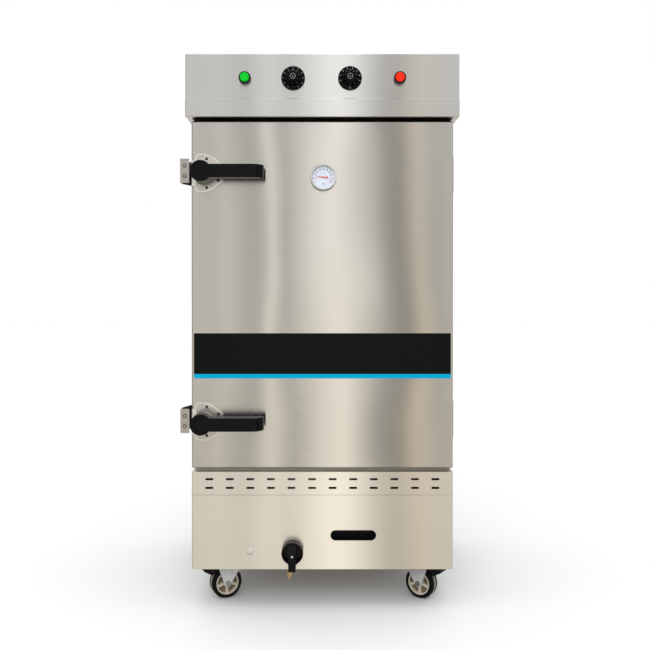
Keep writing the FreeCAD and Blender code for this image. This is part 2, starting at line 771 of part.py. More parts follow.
def water_inlet():
    """A threaded spigot with its nuts and the two ears that carry the float arm."""
    x0 = float_box_place()[0]
    pivot = float_pivot()
    z = inlet_z()
    spigot = rod_x(pivot.y, z, INLET_R, x0 - INLET_LEN, x0 + SHEET + FLOAT_TAIL + FLOAT_HUB_R)
    nut_out = rod_x(pivot.y, z, INLET_NUT_R, x0 - INLET_NUT_T, x0)
    ear_y = FLOAT_HUB_R
    ears = []
    for side in (-1, 1):
        y_near = pivot.y + side * (ear_y / 2 + FIT)
        y_far = y_near + side * FLOAT_PIN_R
        ears.append(box(pivot.x - FLOAT_HUB_R, pivot.x + FLOAT_HUB_R, min(y_near, y_far),
                        max(y_near, y_far), z, pivot.z + FLOAT_HUB_R))
    bore = rod_x(pivot.y, z, INLET_BORE, x0 - INLET_LEN - 1, x0 + SHEET + FLOAT_TAIL)
    pin_hole = rod_y(pivot.x, pivot.z, FLOAT_PIN_R + RUNNING, pivot.y - FLOAT_BOX_D / 3,
                     pivot.y + FLOAT_BOX_D / 3)
    return cut(fuse(spigot, nut_out, *ears), bore, pin_hole)


def float_arm():
    """The lever and ball that close the inlet, with their pivot pin."""
    pivot = float_pivot()
    droop = math.radians(FLOAT_DROOP_DEG)
    direction = vec(math.cos(droop), 0, -math.sin(droop))
    hub = rod_y(pivot.x, pivot.z, FLOAT_HUB_R, pivot.y - FLOAT_HUB_R / 2, pivot.y + FLOAT_HUB_R / 2)
    half_pin = FLOAT_HUB_R / 2 + FIT + FLOAT_PIN_R
    pin = rod_y(pivot.x, pivot.z, FLOAT_PIN_R, pivot.y - half_pin, pivot.y + half_pin)
    arm = Part.makeCylinder(FLOAT_ARM_R, FLOAT_ARM_LEN, pivot, direction)
    ball = Part.makeSphere(FLOAT_BALL_R, pivot + direction * (FLOAT_ARM_LEN + FLOAT_BALL_R - FLOAT_ARM_R))
    return [fuse(hub, pin, arm, ball)]


# Base front and floor


def vent_panel():
    """The upper strip of the base front, with two rows of vents and a ledge under the door."""
    z0 = BASE_TOP - VENT_PANEL_H
    face = pan(BODY_W, z0, BASE_TOP, FRONT, PAN_BEND)
    ledge = box(-SIDE_IN, SIDE_IN, FRONT + SHEET, FRAME_BACK, BASE_TOP - SHEET, BASE_TOP)
    slots = []
    for drop in VENT_ROW_DROPS:
        for column in range(VENT_COLS):
            x = (column - (VENT_COLS - 1) / 2) * VENT_PITCH
            slots.append(obround_y(x, BASE_TOP - drop, VENT_L, VENT_W, FRONT - 1, FRONT + 2 * SHEET))
    return cut(fuse(face, ledge), *slots)


def base_front_panel():
    z1 = BASE_TOP - VENT_PANEL_H - SEAM
    face = pan(BODY_W, BASE_BOTTOM, z1, FRONT, PAN_BEND)
    lip = box(-SIDE_IN, SIDE_IN, FRONT + SHEET, FRONT + PAN_RETURN, BASE_BOTTOM, BASE_BOTTOM + SHEET)
    through = (FRONT - 1, FRONT + 2 * SHEET)
    slot = obround_y(SLOT_X, BASE_BOTTOM + SLOT_LIFT, SLOT_L, SLOT_H, *through)
    plug = rod_y(PLUG_X, BASE_BOTTOM + PLUG_LIFT, PLUG_SHANK_R + SNUG, *through)
    cock = rod_y(COCK_X, COCK_Z, COCK_COLLAR_R + SNUG, *through)
    return cut(fuse(face, lip), slot, plug, cock)


def base_floor():
    plate = box(-SIDE_IN, SIDE_IN, FRONT + PAN_RETURN, BACK - SHEET, BASE_BOTTOM, BASE_BOTTOM + SHEET)
    cutters = [rod_z(tail_point(BASE_BOTTOM).x, tail_point(BASE_BOTTOM).y, COCK_TAIL_HOLE_R,
                     BASE_BOTTOM - 1, BASE_BOTTOM + 2 * SHEET)]
    for name in CASTER_HEADINGS_DEG:
        for x, y in swivel_bolt_places(name):
            cutters.append(rod_z(x, y, SWIVEL_BOLT_R + SNUG, BASE_BOTTOM - 1, BASE_BOTTOM + 2 * SHEET))
    return cut(plate, *cutters)


def hole_plug():
    """A domed head and a shank, turned in one piece."""
    z = BASE_BOTTOM + PLUG_LIFT
    shank_end = FRONT + PLUG_SHANK_L
    rim_y = FRONT - PLUG_RIM_T
    points = [vec(PLUG_X, shank_end, z), vec(PLUG_X + PLUG_SHANK_R, shank_end, z),
              vec(PLUG_X + PLUG_SHANK_R, FRONT, z), vec(PLUG_X + PLUG_R, FRONT, z),
              vec(PLUG_X + PLUG_R, rim_y, z)]
    dome_r = (PLUG_R ** 2 + PLUG_DOME ** 2) / (2 * PLUG_DOME)
    half_turn = math.asin(PLUG_R / dome_r) / 2
    middle_y = rim_y - PLUG_DOME + dome_r * (1 - math.cos(half_turn))
    middle = vec(PLUG_X + dome_r * math.sin(half_turn), middle_y, z)
    crown = vec(PLUG_X, rim_y - PLUG_DOME, z)
    edges = [Part.LineSegment(a, b).toShape() for a, b in zip(points, points[1:])]
    edges.append(Part.Arc(points[-1], middle, crown).toShape())
    edges.append(Part.LineSegment(crown, points[0]).toShape())
    return Part.Face(Part.Wire(edges)).revolve(points[0], vec(0, 1, 0), 360)


# Drain cock


def tail_direction():
    tilt = math.radians(COCK_TAIL_TILT_DEG)
    return vec(-math.sin(tilt), 0, -math.cos(tilt))


def tail_start():
    return vec(COCK_X, FRONT + COCK_TAIL_OFFSET, COCK_Z)


def tail_point(z):
    """Where the hose tail's axis crosses a height."""
    return tail_start() + tail_direction() * ((COCK_Z - z) / math.cos(math.radians(COCK_TAIL_TILT_DEG)))


def drain_pipe_y():
    return FRONT + COCK_BODY_BACK + DRAIN_PIPE_BACK


def cock_body():
    """The brass body behind the panel, its ring nut, hose tail and the pipe up to the tank."""
    body = rod_y(COCK_X, COCK_Z, COCK_BODY_R, FRONT + SHEET, FRONT + COCK_BODY_BACK)
    collar = rod_y(COCK_X, COCK_Z, COCK_COLLAR_R, FRONT - COCK_COLLAR_REACH, FRONT + SHEET)
    tail = Part.makeCylinder(COCK_TAIL_R, COCK_TAIL_LEN, tail_start(), tail_direction())
    sleeve_l = COCK_TAIL_LEN - COCK_TAIL_TIP
    sleeve = Part.makeCylinder(COCK_TAIL_COLLAR_R, sleeve_l, tail_start(), tail_direction())
    casting = fuse(body, collar, tail, sleeve)
    tail_bore = Part.makeCylinder(COCK_TAIL_BORE, COCK_TAIL_LEN + 1, tail_start(), tail_direction())
    stem_bore = rod_y(COCK_X, COCK_Z, COCK_STEM_R + RUNNING, FRONT - COCK_COLLAR_REACH - 1,
                      FRONT + COCK_STEM_DEPTH + FIT)
    back_bore = rod_y(COCK_X, COCK_Z, DRAIN_PIPE_BORE, FRONT + COCK_TAIL_OFFSET, FRONT + COCK_BODY_BACK + 1)
    casting = cut(casting, tail_bore, stem_bore, back_bore)
    ring = cut(outward(COCK_X, COCK_Z, COCK_NUT_R, 0, COCK_NUT_T),
               outward(COCK_X, COCK_Z, COCK_COLLAR_R, -1, COCK_NUT_T + 1))
    y = drain_pipe_y()
    route = [vec(COCK_X, y, TANK_BOTTOM), vec(COCK_X, y, COCK_Z),
             vec(COCK_X, FRONT + COCK_BODY_BACK, COCK_Z)]
    drain = cut(pipe(route, DRAIN_PIPE_BEND, DRAIN_PIPE_R), pipe(route, DRAIN_PIPE_BEND, DRAIN_PIPE_BORE))
    return [casting, ring, drain]


def cock_handle():
    """A moulded turn handle: a dished disc with a grip bar across it and a long pointer end."""
    near = COCK_HANDLE_STANDOFF
    far = near + COCK_HANDLE_T
    disc = outward(COCK_X, COCK_Z, COCK_HANDLE_R, near, far)
    half = COCK_BAR_W / 2
    top_half = COCK_HANDLE_R - COCK_HANDLE_RIM
    skirt = prism([vec(COCK_X - COCK_HANDLE_R + COCK_HANDLE_RIM / 2, FRONT - far, COCK_Z - half),
                   vec(COCK_X + COCK_HANDLE_R - COCK_HANDLE_RIM / 2, FRONT - far, COCK_Z - half),
                   vec(COCK_X + half, FRONT - far, COCK_Z - COCK_BAR_DROP + half),
                   vec(COCK_X - half, FRONT - far, COCK_Z - COCK_BAR_DROP + half)],
                  vec(0, COCK_HANDLE_T, 0))
    shell = fuse(disc, skirt)
    pocket_floor = far - COCK_HANDLE_POCKET
    pocket = outward(COCK_X, COCK_Z, top_half, pocket_floor, far + 1)
    shell = cut(shell, pocket)
    bar_face = FRONT - far - COCK_BAR_PROUD
    bar_top = COCK_Z + top_half - 1
    bar_bottom = COCK_Z - COCK_BAR_DROP
    bar_side = [(FRONT - near, bar_top), (FRONT - far, bar_top), (bar_face, COCK_Z + COCK_BAR_SLOPE_FROM),
                (bar_face, bar_bottom), (FRONT - near, bar_bottom)]
    bar = plate_on_yz(bar_side, COCK_X - half, COCK_X + half)
    bar = round_edges(bar, COCK_BAR_CORNER, vec(0, 1, 0), lambda p: p.z < bar_bottom + 1)
    face_edges = [edge for edge in bar.Edges if edge.CenterOfMass.y < bar_face + 0.01]
    bar = bar.makeFillet(COCK_BAR_EDGE, face_edges)
    screw_seat = far + COCK_BAR_PROUD - COCK_SCREW_WELL
    well = outward(COCK_X, COCK_Z, COCK_SCREW_R + COCK_SCREW_T, screw_seat, far + COCK_BAR_PROUD + 1)
    moulding = cut(fuse(shell, bar), well)
    stem = rod_y(COCK_X, COCK_Z, COCK_STEM_R, FRONT - near, FRONT + COCK_STEM_DEPTH)
    head = outward(COCK_X, COCK_Z, COCK_SCREW_R, screw_seat, screw_seat + COCK_SCREW_T)
    return [moulding, stem, head]


# Header


def header_deck():
    """The plate that closes the chamber's top and carries the control gear."""
    return box(-HEADER_SIDE, HEADER_SIDE, BODY_FRONT, BACK, HEADER_BOTTOM, HEADER_BOTTOM + SHEET)


def header_casing():
    """The top, the two sides and the back of the header in one folded sheet."""
    front = PANEL_FRONT + PAN_RETURN
    z0 = HEADER_BOTTOM + SHEET
    outer = box(-HEADER_SIDE, HEADER_SIDE, front, BACK, z0, HEADER_TOP)
    outer = round_edges(outer, HEADER_FOLD, vec(0, 1, 0), lambda p: p.z > HEADER_TOP - 1)
    inner = box(-HEADER_SIDE + SHEET, HEADER_SIDE - SHEET, front - 1, BACK - SHEET, z0 - 1,
                HEADER_TOP - SHEET)
    notch = box(-HEADER_SIDE - 1, HEADER_SIDE + 1, front - 1, BODY_FRONT, z0 - 1, BROW_TOP)
    gland = rod_y(GLAND_X, gland_z(), GLAND_R + SNUG, BACK - 2 * SHEET, BACK + 1)
    return cut(outer, inner, notch, gland)


def control_panel():
    """The front of the header, bent back at its sides and top."""
    z0 = BROW_TOP
    outer = box(-HEADER_SIDE, HEADER_SIDE, PANEL_FRONT, PANEL_FRONT + PAN_RETURN, z0, HEADER_TOP)
    outer = round_edges(outer, PAN_BEND, vec(0, 0, 1), lambda p: p.y < PANEL_FRONT + 1)
    outer = round_edges(outer, HEADER_FOLD, vec(1, 0, 0), lambda p: p.y < PANEL_FRONT + 1 and p.z > z0 + 1)
    inner = box(-HEADER_SIDE + SHEET, HEADER_SIDE - SHEET, PANEL_FRONT + SHEET,
                PANEL_FRONT + PAN_RETURN + 1, z0 - 1, HEADER_TOP - SHEET)
    through = (PANEL_FRONT - 1, PANEL_FRONT + 2 * SHEET)
    holes = [rod_y(x, CONTROL_Z, LAMP_THREAD_R + SNUG, *through) for x in (-LAMP_X, LAMP_X)]
    holes += [rod_y(x, CONTROL_Z, BUSH_R + SNUG, *through) for x in (TIMER_X, THERMOSTAT_X)]
    return cut(outer, inner, *holes)


def header_brow():
    """The proud band over the door, folded back under the header."""
    outer = box(-HEADER_SIDE, HEADER_SIDE, BROW_FRONT, BODY_FRONT, HEADER_BOTTOM, BROW_TOP)
    outer = round_edges(outer, PAN_BEND, vec(0, 0, 1), lambda p: p.y < BROW_FRONT + 1)
    outer = round_edges(outer, HEADER_FOLD, vec(1, 0, 0), lambda p: p.y < BROW_FRONT + 1)
    inner = box(-HEADER_SIDE + SHEET, HEADER_SIDE - SHEET, BROW_FRONT + SHEET, BODY_FRONT + 1,
                HEADER_BOTTOM + SHEET, BROW_TOP - SHEET)
    open_top = box(-HEADER_SIDE + SHEET, HEADER_SIDE - SHEET, PANEL_FRONT + PAN_RETURN, BODY_FRONT + 1,
                   BROW_TOP - 2 * SHEET, BROW_TOP + 1)
    return cut(outer, inner, open_top)


def lamp_bezel(x):
    ring = outward(x, CONTROL_Z, LAMP_BEZEL_R, 0, LAMP_BEZEL_T, PANEL_FRONT)
    neck = rod_y(x, CONTROL_Z, LAMP_THREAD_R, PANEL_FRONT, PANEL_FRONT + SHEET)
    body = rod_y(x, CONTROL_Z, LAMP_BODY_R, PANEL_FRONT + SHEET, PANEL_FRONT + SHEET + LAMP_BODY_L)
    socket = outward(x, CONTROL_Z, LAMP_LENS_R - LAMP_LENS_STEP, LAMP_BEZEL_T - LAMP_LENS_PLUG - 1,
                     LAMP_BEZEL_T + 1, PANEL_FRONT)
    return cut(fuse(ring, neck, body), socket)


def lamp_lens(x):
    """A domed cap that plugs into the bezel."""
    cap = outward(x, CONTROL_Z, LAMP_LENS_R, LAMP_BEZEL_T, LAMP_LENS_REACH, PANEL_FRONT)
    face_y = PANEL_FRONT - LAMP_LENS_REACH
    rim = [edge for edge in cap.Edges if abs(edge.CenterOfMass.y - face_y) < 0.01]
    cap = cap.makeFillet(LAMP_LENS_EDGE, rim)
    plug = outward(x, CONTROL_Z, LAMP_LENS_R - LAMP_LENS_STEP - SNUG, LAMP_BEZEL_T - LAMP_LENS_PLUG,
                   LAMP_BEZEL_T, PANEL_FRONT)
    return fuse(cap, plug)


def control_gear():
    """The timer movement, the thermostat and the contactor inside the header."""
    solids = []
    for x in (TIMER_X, THERMOSTAT_X):
        back = PANEL_FRONT + SHEET + UNIT_D
        block = box(x - UNIT_W / 2, x + UNIT_W / 2, PANEL_FRONT + SHEET, back,
                    CONTROL_Z - UNIT_W / 2, CONTROL_Z + UNIT_W / 2)
        bush = rod_y(x, CONTROL_Z, BUSH_R, PANEL_FRONT - KNOB_GAP / 2, PANEL_FRONT + SHEET)
        bore = rod_y(x, CONTROL_Z, SHAFT_R + RUNNING, PANEL_FRONT - KNOB_GAP, PANEL_FRONT + UNIT_D / 2)
        solids.append(cut(fuse(block, bush), bore))
    deck = HEADER_BOTTOM + SHEET
    base = box(CONTACTOR_X - CONTACTOR_W / 2, CONTACTOR_X + CONTACTOR_W / 2, CONTACTOR_Y - CONTACTOR_D / 2,
               CONTACTOR_Y + CONTACTOR_D / 2, deck, deck + CONTACTOR_BASE_H)
    coil = box(CONTACTOR_X - CONTACTOR_W / 2, CONTACTOR_X + CONTACTOR_W / 2, CONTACTOR_Y - CONTACTOR_D / 4,
               CONTACTOR_Y + CONTACTOR_D / 4, deck + CONTACTOR_BASE_H, deck + CONTACTOR_H)
    solids.append(fuse(base, coil))
    return solids


def knob(x):
    """A dial knob: numbered skirt, domed grip with flutes, ringed eye, and its shaft."""
    z = CONTROL_Z
    y0 = PANEL_FRONT - KNOB_GAP
    y_skirt = y0 - KNOB_SKIRT_T
    y_top = y_skirt - KNOB_REACH
    profile = [vec(x, y0, z), vec(x + KNOB_SKIRT_R, y0, z),
               vec(x + KNOB_SKIRT_R, y_skirt + KNOB_SKIRT_BEVEL, z),
               vec(x + KNOB_SKIRT_R - KNOB_SKIRT_BEVEL, y_skirt, z),
               vec(x + KNOB_DOME_R, y_skirt - KNOB_SKIRT_BEVEL, z)]
    dome_start = profile[-1]
    dome_end = vec(x + KNOB_TOP_R, y_top, z)
    dome_middle = vec(x + KNOB_DOME_R - KNOB_DOME_SAG, y_skirt - KNOB_DOME_BEND_RISE, z)
    edges = [Part.LineSegment(a, b).toShape() for a, b in zip(profile, profile[1:])]
    edges.append(Part.Arc(dome_start, dome_middle, dome_end).toShape())
    cup_y = y_top + KNOB_CUP_DEPTH
    eye_rim = KNOB_EYE_R + KNOB_EYE_RING_W
    eye = [dome_end, vec(x + KNOB_TOP_R - KNOB_TOP_RING_W, y_top, z), vec(x + eye_rim, cup_y, z),
           vec(x + eye_rim, cup_y - KNOB_EYE_RING_W, z), vec(x + KNOB_EYE_R, cup_y - KNOB_EYE_RING_W, z),
           vec(x + KNOB_EYE_R, y_top + KNOB_EYE_DEPTH, z), vec(x, y_top + KNOB_EYE_DEPTH, z), profile[0]]
    edges += [Part.LineSegment(a, b).toShape() for a, b in zip(eye, eye[1:])]
    body = Part.Face(Part.Wire(edges)).revolve(vec(x, y0, z), vec(0, 1, 0), 360)
    flutes = []
    for i in range(KNOB_FLUTES):
        angle = 2 * math.pi * i / KNOB_FLUTES
        reach = KNOB_DOME_R + KNOB_FLUTE_FOOT_OUT
        foot = vec(x + reach * math.cos(angle), y_skirt - KNOB_FLUTE_FOOT_LIFT, z + reach * math.sin(angle))
        top_reach = KNOB_TOP_R + KNOB_FLUTE_HEAD_OUT
        head = vec(x + top_reach * math.cos(angle), y_top - 2, z + top_reach * math.sin(angle))
        flutes.append(Part.makeCylinder(KNOB_FLUTE_R, (head - foot).Length, foot, head - foot))
    body = cut(body, *flutes)
    socket = rod_y(x, z, SHAFT_R, y0 - KNOB_REACH / 2, y0 + 1)
    shaft = rod_y(x, z, SHAFT_R, y0 - KNOB_REACH / 2, PANEL_FRONT + UNIT_D / 2 - 1)
    return [cut(body, socket), shaft]


def gland_z():
    return HEADER_BOTTOM + GLAND_RISE


def cable_gland():
    z = gland_z()
    body = rod_y(GLAND_X, z, GLAND_R, BACK - SHEET - GLAND_NUT_T, BACK + GLAND_REACH)
    cap = rod_y(GLAND_X, z, GLAND_NUT_R, BACK, BACK + GLAND_NUT_T)
    lock = rod_y(GLAND_X, z, GLAND_NUT_R, BACK - SHEET - GLAND_NUT_T, BACK - SHEET)
    bore = rod_y(GLAND_X, z, GLAND_BORE, BACK - SHEET - GLAND_NUT_T - 1, BACK + GLAND_REACH + 1)
    return cut(fuse(body, cap, lock), bore)


# Door


def latch_z(lift):
    return DOOR_BOTTOM + lift


def latch_screw_places():
    return [(LATCH_X + dx, latch_z(lift) + dz) for lift in LATCH_LIFTS for dx, dz in LATCH_SCREWS]


def door_block(inset, front, back):
    """The door's outline, drawn in by an inset, with its front edges rounded."""
    bend = DOOR_BEND - inset
    block = box(-SIDE + inset, SIDE - inset, front, back, DOOR_BOTTOM + inset, DOOR_TOP - inset)
    corner = max(DOOR_CORNER - inset, 1.0)
    block = round_edges(block, corner, vec(0, 1, 0))
    rim = [edge for edge in block.Edges if abs(edge.CenterOfMass.y - front) < 0.01]
    return block.makeFillet(bend, rim)


def door_skin():
    shell = cut(door_block(0, FRONT, DOOR_BACK), door_block(LINER_SHEET, FRONT + LINER_SHEET, DOOR_BACK + 1))
    through = (FRONT - 1, FRONT + 2 * LINER_SHEET)
    holes = [rod_y(x, z, SCREW_SHANK_R + SNUG, *through) for x, z in latch_screw_places()]
    holes.append(rod_y(GAUGE_X, GAUGE_Z, GAUGE_STEM_R + SNUG, *through))
    holes += [rod_y(LATCH_X, latch_z(lift), LATCH_SHAFT_R + 1, *through) for lift in LATCH_LIFTS]
    return cut(shell, *holes)


def door_liner():
    inset = LINER_SHEET + SNUG
    x, z0, z1 = SIDE - inset, DOOR_BOTTOM + inset, DOOR_TOP - inset
    outer = box(-x, x, DOOR_BACK - LINER_RETURN, DOOR_BACK, z0, z1)
    inner = box(-x + LINER_SHEET, x - LINER_SHEET, DOOR_BACK - LINER_RETURN - 1, DOOR_BACK - LINER_SHEET,
                z0 + LINER_SHEET, z1 - LINER_SHEET)
    tray = cut(round_edges(outer, LINER_CORNER, vec(0, 1, 0)), inner)
    ex = CHAMBER_SIDE - EMBOSS_MARGIN
    ez0, ez1 = COVER_TOP + EMBOSS_MARGIN, CHAMBER_TOP - EMBOSS_MARGIN
    raised = box(-ex, ex, DOOR_BACK - LINER_SHEET, DOOR_BACK + LINER_EMBOSS, ez0, ez1)
    hollow = box(-ex + LINER_SHEET, ex - LINER_SHEET, DOOR_BACK - 2 * LINER_SHEET,
                 DOOR_BACK + LINER_EMBOSS - LINER_SHEET, ez0 + LINER_SHEET, ez1 - LINER_SHEET)
    stem = rod_y(GAUGE_X, GAUGE_Z, GAUGE_STEM_R + SNUG, DOOR_BACK - 2, DOOR_BACK + 2 * LINER_EMBOSS)
    return cut(fuse(tray, raised), hollow, stem)


def door_insulation():
    inset = 2 * LINER_SHEET + 2 * SNUG
    front = FRONT + LINER_SHEET + SNUG
    block = box(-SIDE + inset, SIDE - inset, front, DOOR_BACK - LINER_SHEET - SNUG, DOOR_BOTTOM + inset,
                DOOR_TOP - inset)
    block = round_edges(block, DOOR_BEND, vec(0, 1, 0))
    rim = [edge for edge in block.Edges if abs(edge.CenterOfMass.y - front) < 0.01]
    block = block.makeFillet(DOOR_BEND, rim)
    cutters = [rod_y(x, z, SCREW_SHANK_R + 1, front - 1, front + 2 * SCREW_TAIL)
               for x, z in latch_screw_places()]
    cutters += [rod_y(LATCH_X, latch_z(lift), LATCH_SHAFT_R + 2, front - 1, front + LATCH_SHAFT_DEPTH)
                for lift in LATCH_LIFTS]
    cutters.append(rod_y(GAUGE_X, GAUGE_Z, GAUGE_STEM_R + SNUG, front - 1, DOOR_BACK + 1))
    return cut(block, *cutters)


def door_gasket():
    x = CHAMBER_SIDE + GASKET_INSET
    z0, z1 = TANK_TOP - GASKET_INSET, CHAMBER_TOP + GASKET_INSET
    y0, y1 = DOOR_BACK, BODY_FRONT - FIT
    outer = box(-x - GASKET_W, x + GASKET_W, y0, y1, z0 - GASKET_W, z1 + GASKET_W)
    inner = box(-x, x, y0 - 1, y1 + 1, z0, z1)
    outer = round_edges(outer, GASKET_CORNER, vec(0, 1, 0))
    return cut(outer, round_edges(inner, GASKET_INSET, vec(0, 1, 0)))


def door_band():
    x = SIDE - BAND_MARGIN
    z0 = DOOR_BOTTOM + BAND_LIFT
    band = box(-x, x, FRONT - BAND_T, FRONT, z0, z0 + BAND_H)
    return round_edges(band, BAND_CORNER, vec(0, 1, 0), lambda p: p.z > z0 + BAND_H / 2)


# Thermometer


def thermometer_case():
    """A round case with its glass lip, dial seat, spindle boss and probe, and the nut inside the door."""
    inner_r = GAUGE_R - GAUGE_WALL
    front = GAUGE_T
    drum = outward(GAUGE_X, GAUGE_Z, GAUGE_R, 0, front)
    face_y = FRONT - front
    front_rim = [edge for edge in drum.Edges if abs(edge.CenterOfMass.y - face_y) < 0.01]
    drum = drum.makeFillet(GAUGE_RIM_EDGE, front_rim)
    dial_back = front - GAUGE_DIAL_DEPTH
    window = outward(GAUGE_X, GAUGE_Z, inner_r - GAUGE_LIP, front - GAUGE_LIP_T - 1, front + 1)
    room = outward(GAUGE_X, GAUGE_Z, inner_r, dial_back, front - GAUGE_LIP_T)
    below = outward(GAUGE_X, GAUGE_Z, inner_r - GAUGE_SEAT, GAUGE_BACK_T, dial_back + 1)
    boss_top = GAUGE_BACK_T + GAUGE_SPINDLE_BOSS_T
    boss = outward(GAUGE_X, GAUGE_Z, GAUGE_SPINDLE_BOSS_R, GAUGE_BACK_T - 1, boss_top)
    stem = rod_y(GAUGE_X, GAUGE_Z, GAUGE_STEM_R, FRONT, DOOR_BACK + GAUGE_STEM_REACH)
    bore = outward(GAUGE_X, GAUGE_Z, GAUGE_SPINDLE_R + RUNNING, GAUGE_BORE_START, boss_top + 1)
    case = cut(fuse(cut(drum, window, room, below), boss, stem), bore)
    nut_y = DOOR_BACK + LINER_EMBOSS
    nut = cut(rod_y(GAUGE_X, GAUGE_Z, GAUGE_NUT_R, nut_y, nut_y + GAUGE_NUT_T),
              rod_y(GAUGE_X, GAUGE_Z, GAUGE_STEM_R, nut_y - 1, nut_y + GAUGE_NUT_T + 1))
    return [case, nut]


def thermometer_dial():
    back = GAUGE_T - GAUGE_DIAL_DEPTH
    disc = outward(GAUGE_X, GAUGE_Z, GAUGE_R - GAUGE_WALL - SNUG, back, back + GAUGE_DIAL_T)
    return cut(disc, outward(GAUGE_X, GAUGE_Z, GAUGE_SPINDLE_R + FIT, back - 1, back + GAUGE_DIAL_T + 1))


def thermometer_glass():
    front = GAUGE_T - GAUGE_LIP_T
    return outward(GAUGE_X, GAUGE_Z, GAUGE_R - GAUGE_WALL - SNUG, front - GAUGE_GLASS_T, front)


def thermometer_needle():
    """Spindle, tapered pointer to the left and a round counterweight to the right."""
    level = GAUGE_T - GAUGE_DIAL_DEPTH + GAUGE_DIAL_T + GAUGE_NEEDLE_LIFT
    y0 = FRONT - level - GAUGE_NEEDLE_T
    spindle_back = GAUGE_BORE_START + FIT
    spindle = outward(GAUGE_X, GAUGE_Z, GAUGE_SPINDLE_R, spindle_back, level + 2 * GAUGE_NEEDLE_T)
    half = GAUGE_NEEDLE_W / 2
    blade = prism([vec(GAUGE_X + GAUGE_TAIL_LEN, y0, GAUGE_Z - half / 2),
                   vec(GAUGE_X + GAUGE_TAIL_LEN, y0, GAUGE_Z + half / 2),
                   vec(GAUGE_X, y0, GAUGE_Z + half),
                   vec(GAUGE_X - GAUGE_NEEDLE_LEN, y0, GAUGE_Z + half / 3),
                   vec(GAUGE_X - GAUGE_NEEDLE_LEN, y0, GAUGE_Z - half / 3),
                   vec(GAUGE_X, y0, GAUGE_Z - half)], vec(0, GAUGE_NEEDLE_T, 0))
    ball = outward(GAUGE_X + GAUGE_TAIL_LEN, GAUGE_Z, GAUGE_BALL_R, level - FIT, level + GAUGE_NEEDLE_T + FIT)
    needle = fuse(spindle, blade, ball)
    needle.rotate(vec(GAUGE_X, FRONT, GAUGE_Z), vec(0, 1, 0), GAUGE_NEEDLE_TILT_DEG)
    return needle


# Latches


def latch_outline(grow):
    """The leaf-shaped plate round a latch pivot, grown or drawn in, as a wire at the door's face."""
    left = -LATCH_PLATE_LEFT - grow
    right = LATCH_PLATE_RIGHT + grow
    low = LATCH_LEFT_HALF_H + grow
    high = LATCH_PLATE_HALF_H + grow
    tip = LATCH_TIP_HALF_H + grow / 2
    crown_x = -LATCH_PLATE_LEFT / 2
    corner = (left + LATCH_CORNER_IN, high - LATCH_CORNER_DOWN)
    shoulder = (LATCH_SHOULDER_X + grow / 2, high - LATCH_SHOULDER_DOWN)
    corners = {"a": (left, -low), "b": (left, low), "c": (crown_x, high), "d": (right, tip),
               "e": (right, -tip), "f": (crown_x, -high)}
    at = {name: vec(x, 0, z) for name, (x, z) in corners.items()}
    upper_corner = vec(corner[0], 0, corner[1])
    lower_corner = vec(corner[0], 0, -corner[1])
    upper_side = vec(shoulder[0], 0, shoulder[1])
    lower_side = vec(shoulder[0], 0, -shoulder[1])
    curves = [Part.LineSegment(at["a"], at["b"]), Part.Arc(at["b"], upper_corner, at["c"]),
              Part.Arc(at["c"], upper_side, at["d"]), Part.LineSegment(at["d"], at["e"]),
              Part.Arc(at["e"], lower_side, at["f"]), Part.Arc(at["f"], lower_corner, at["a"])]
    return Part.Wire([curve.toShape() for curve in curves])


def latch_slab(grow, start, end):
    slab = Part.Face(latch_outline(grow)).extrude(vec(0, -(end - start), 0))
    slab.translate(vec(0, -start, 0))
    return slab


def latch_base(lift):
    """A cast plate with a raised rim, a flared boss round the shaft and a nose at the door's edge."""
    z = latch_z(lift)
    plate = latch_slab(0, 0, LATCH_PLATE_T)
    plate = plate.cut(latch_slab(-LATCH_RIM_W, LATCH_FLOOR_T, LATCH_PLATE_T + 1))
    plate.translate(vec(LATCH_X, FRONT, z))
    nose_left = -SIDE + LATCH_NOSE_INSET
    nose = box(nose_left, LATCH_X - LATCH_PLATE_LEFT + LATCH_RIM_W, FRONT - LATCH_NOSE_T, FRONT,
               z - LATCH_NOSE_HALF_H, z + LATCH_NOSE_HALF_H)
    nose_edges = [edge for edge in nose.Edges
                  if edge.CenterOfMass.x < nose_left + 0.01 and edge.CenterOfMass.y < FRONT - 1]
    nose = nose.makeFillet(LATCH_NOSE_EDGE, nose_edges)
    boss = cone_y(LATCH_X, z, LATCH_BOSS_R, LATCH_BOSS_R + LATCH_BOSS_FLARE, FRONT - LATCH_BOSS_T, FRONT)
    pads = [outward(LATCH_X + dx, z + dz, LATCH_SCREW_PAD_R, 0, LATCH_SCREW_PAD_T)
            for dx, dz in LATCH_SCREWS]
    casting = fuse(plate, nose, boss, *pads)
    bore = outward(LATCH_X, z, LATCH_SHAFT_R + RUNNING, -1, LATCH_BOSS_T + 1)
    holes = [screw_hole(LATCH_X + dx, z + dz) for dx, dz in LATCH_SCREWS]
    return cut(casting, bore, *holes)


def screw_hole(x, z):
    """The seat of a countersunk screw in a latch plate, with a hair of room round the screw."""
    shank = outward(x, z, SCREW_SHANK_R + SNUG, -1, LATCH_SCREW_PAD_T)
    seat = cone_y(x, z, SCREW_HEAD_R + SNUG, SCREW_SHANK_R + SNUG, FRONT - LATCH_SCREW_PAD_T,
                  FRONT - LATCH_SCREW_PAD_T + SCREW_HEAD_T)
    mouth = outward(x, z, SCREW_HEAD_R + SNUG, LATCH_SCREW_PAD_T, LATCH_PLATE_T + 1)
    return fuse(shank, seat, mouth)


def latch_bases():
    solids = [latch_base(lift) for lift in LATCH_LIFTS]
    length = LATCH_SCREW_PAD_T + LINER_SHEET + SCREW_TAIL
    solids += [screw(x, z, FRONT, LATCH_SCREW_PAD_T, length) for x, z in latch_screw_places()]
    return solids


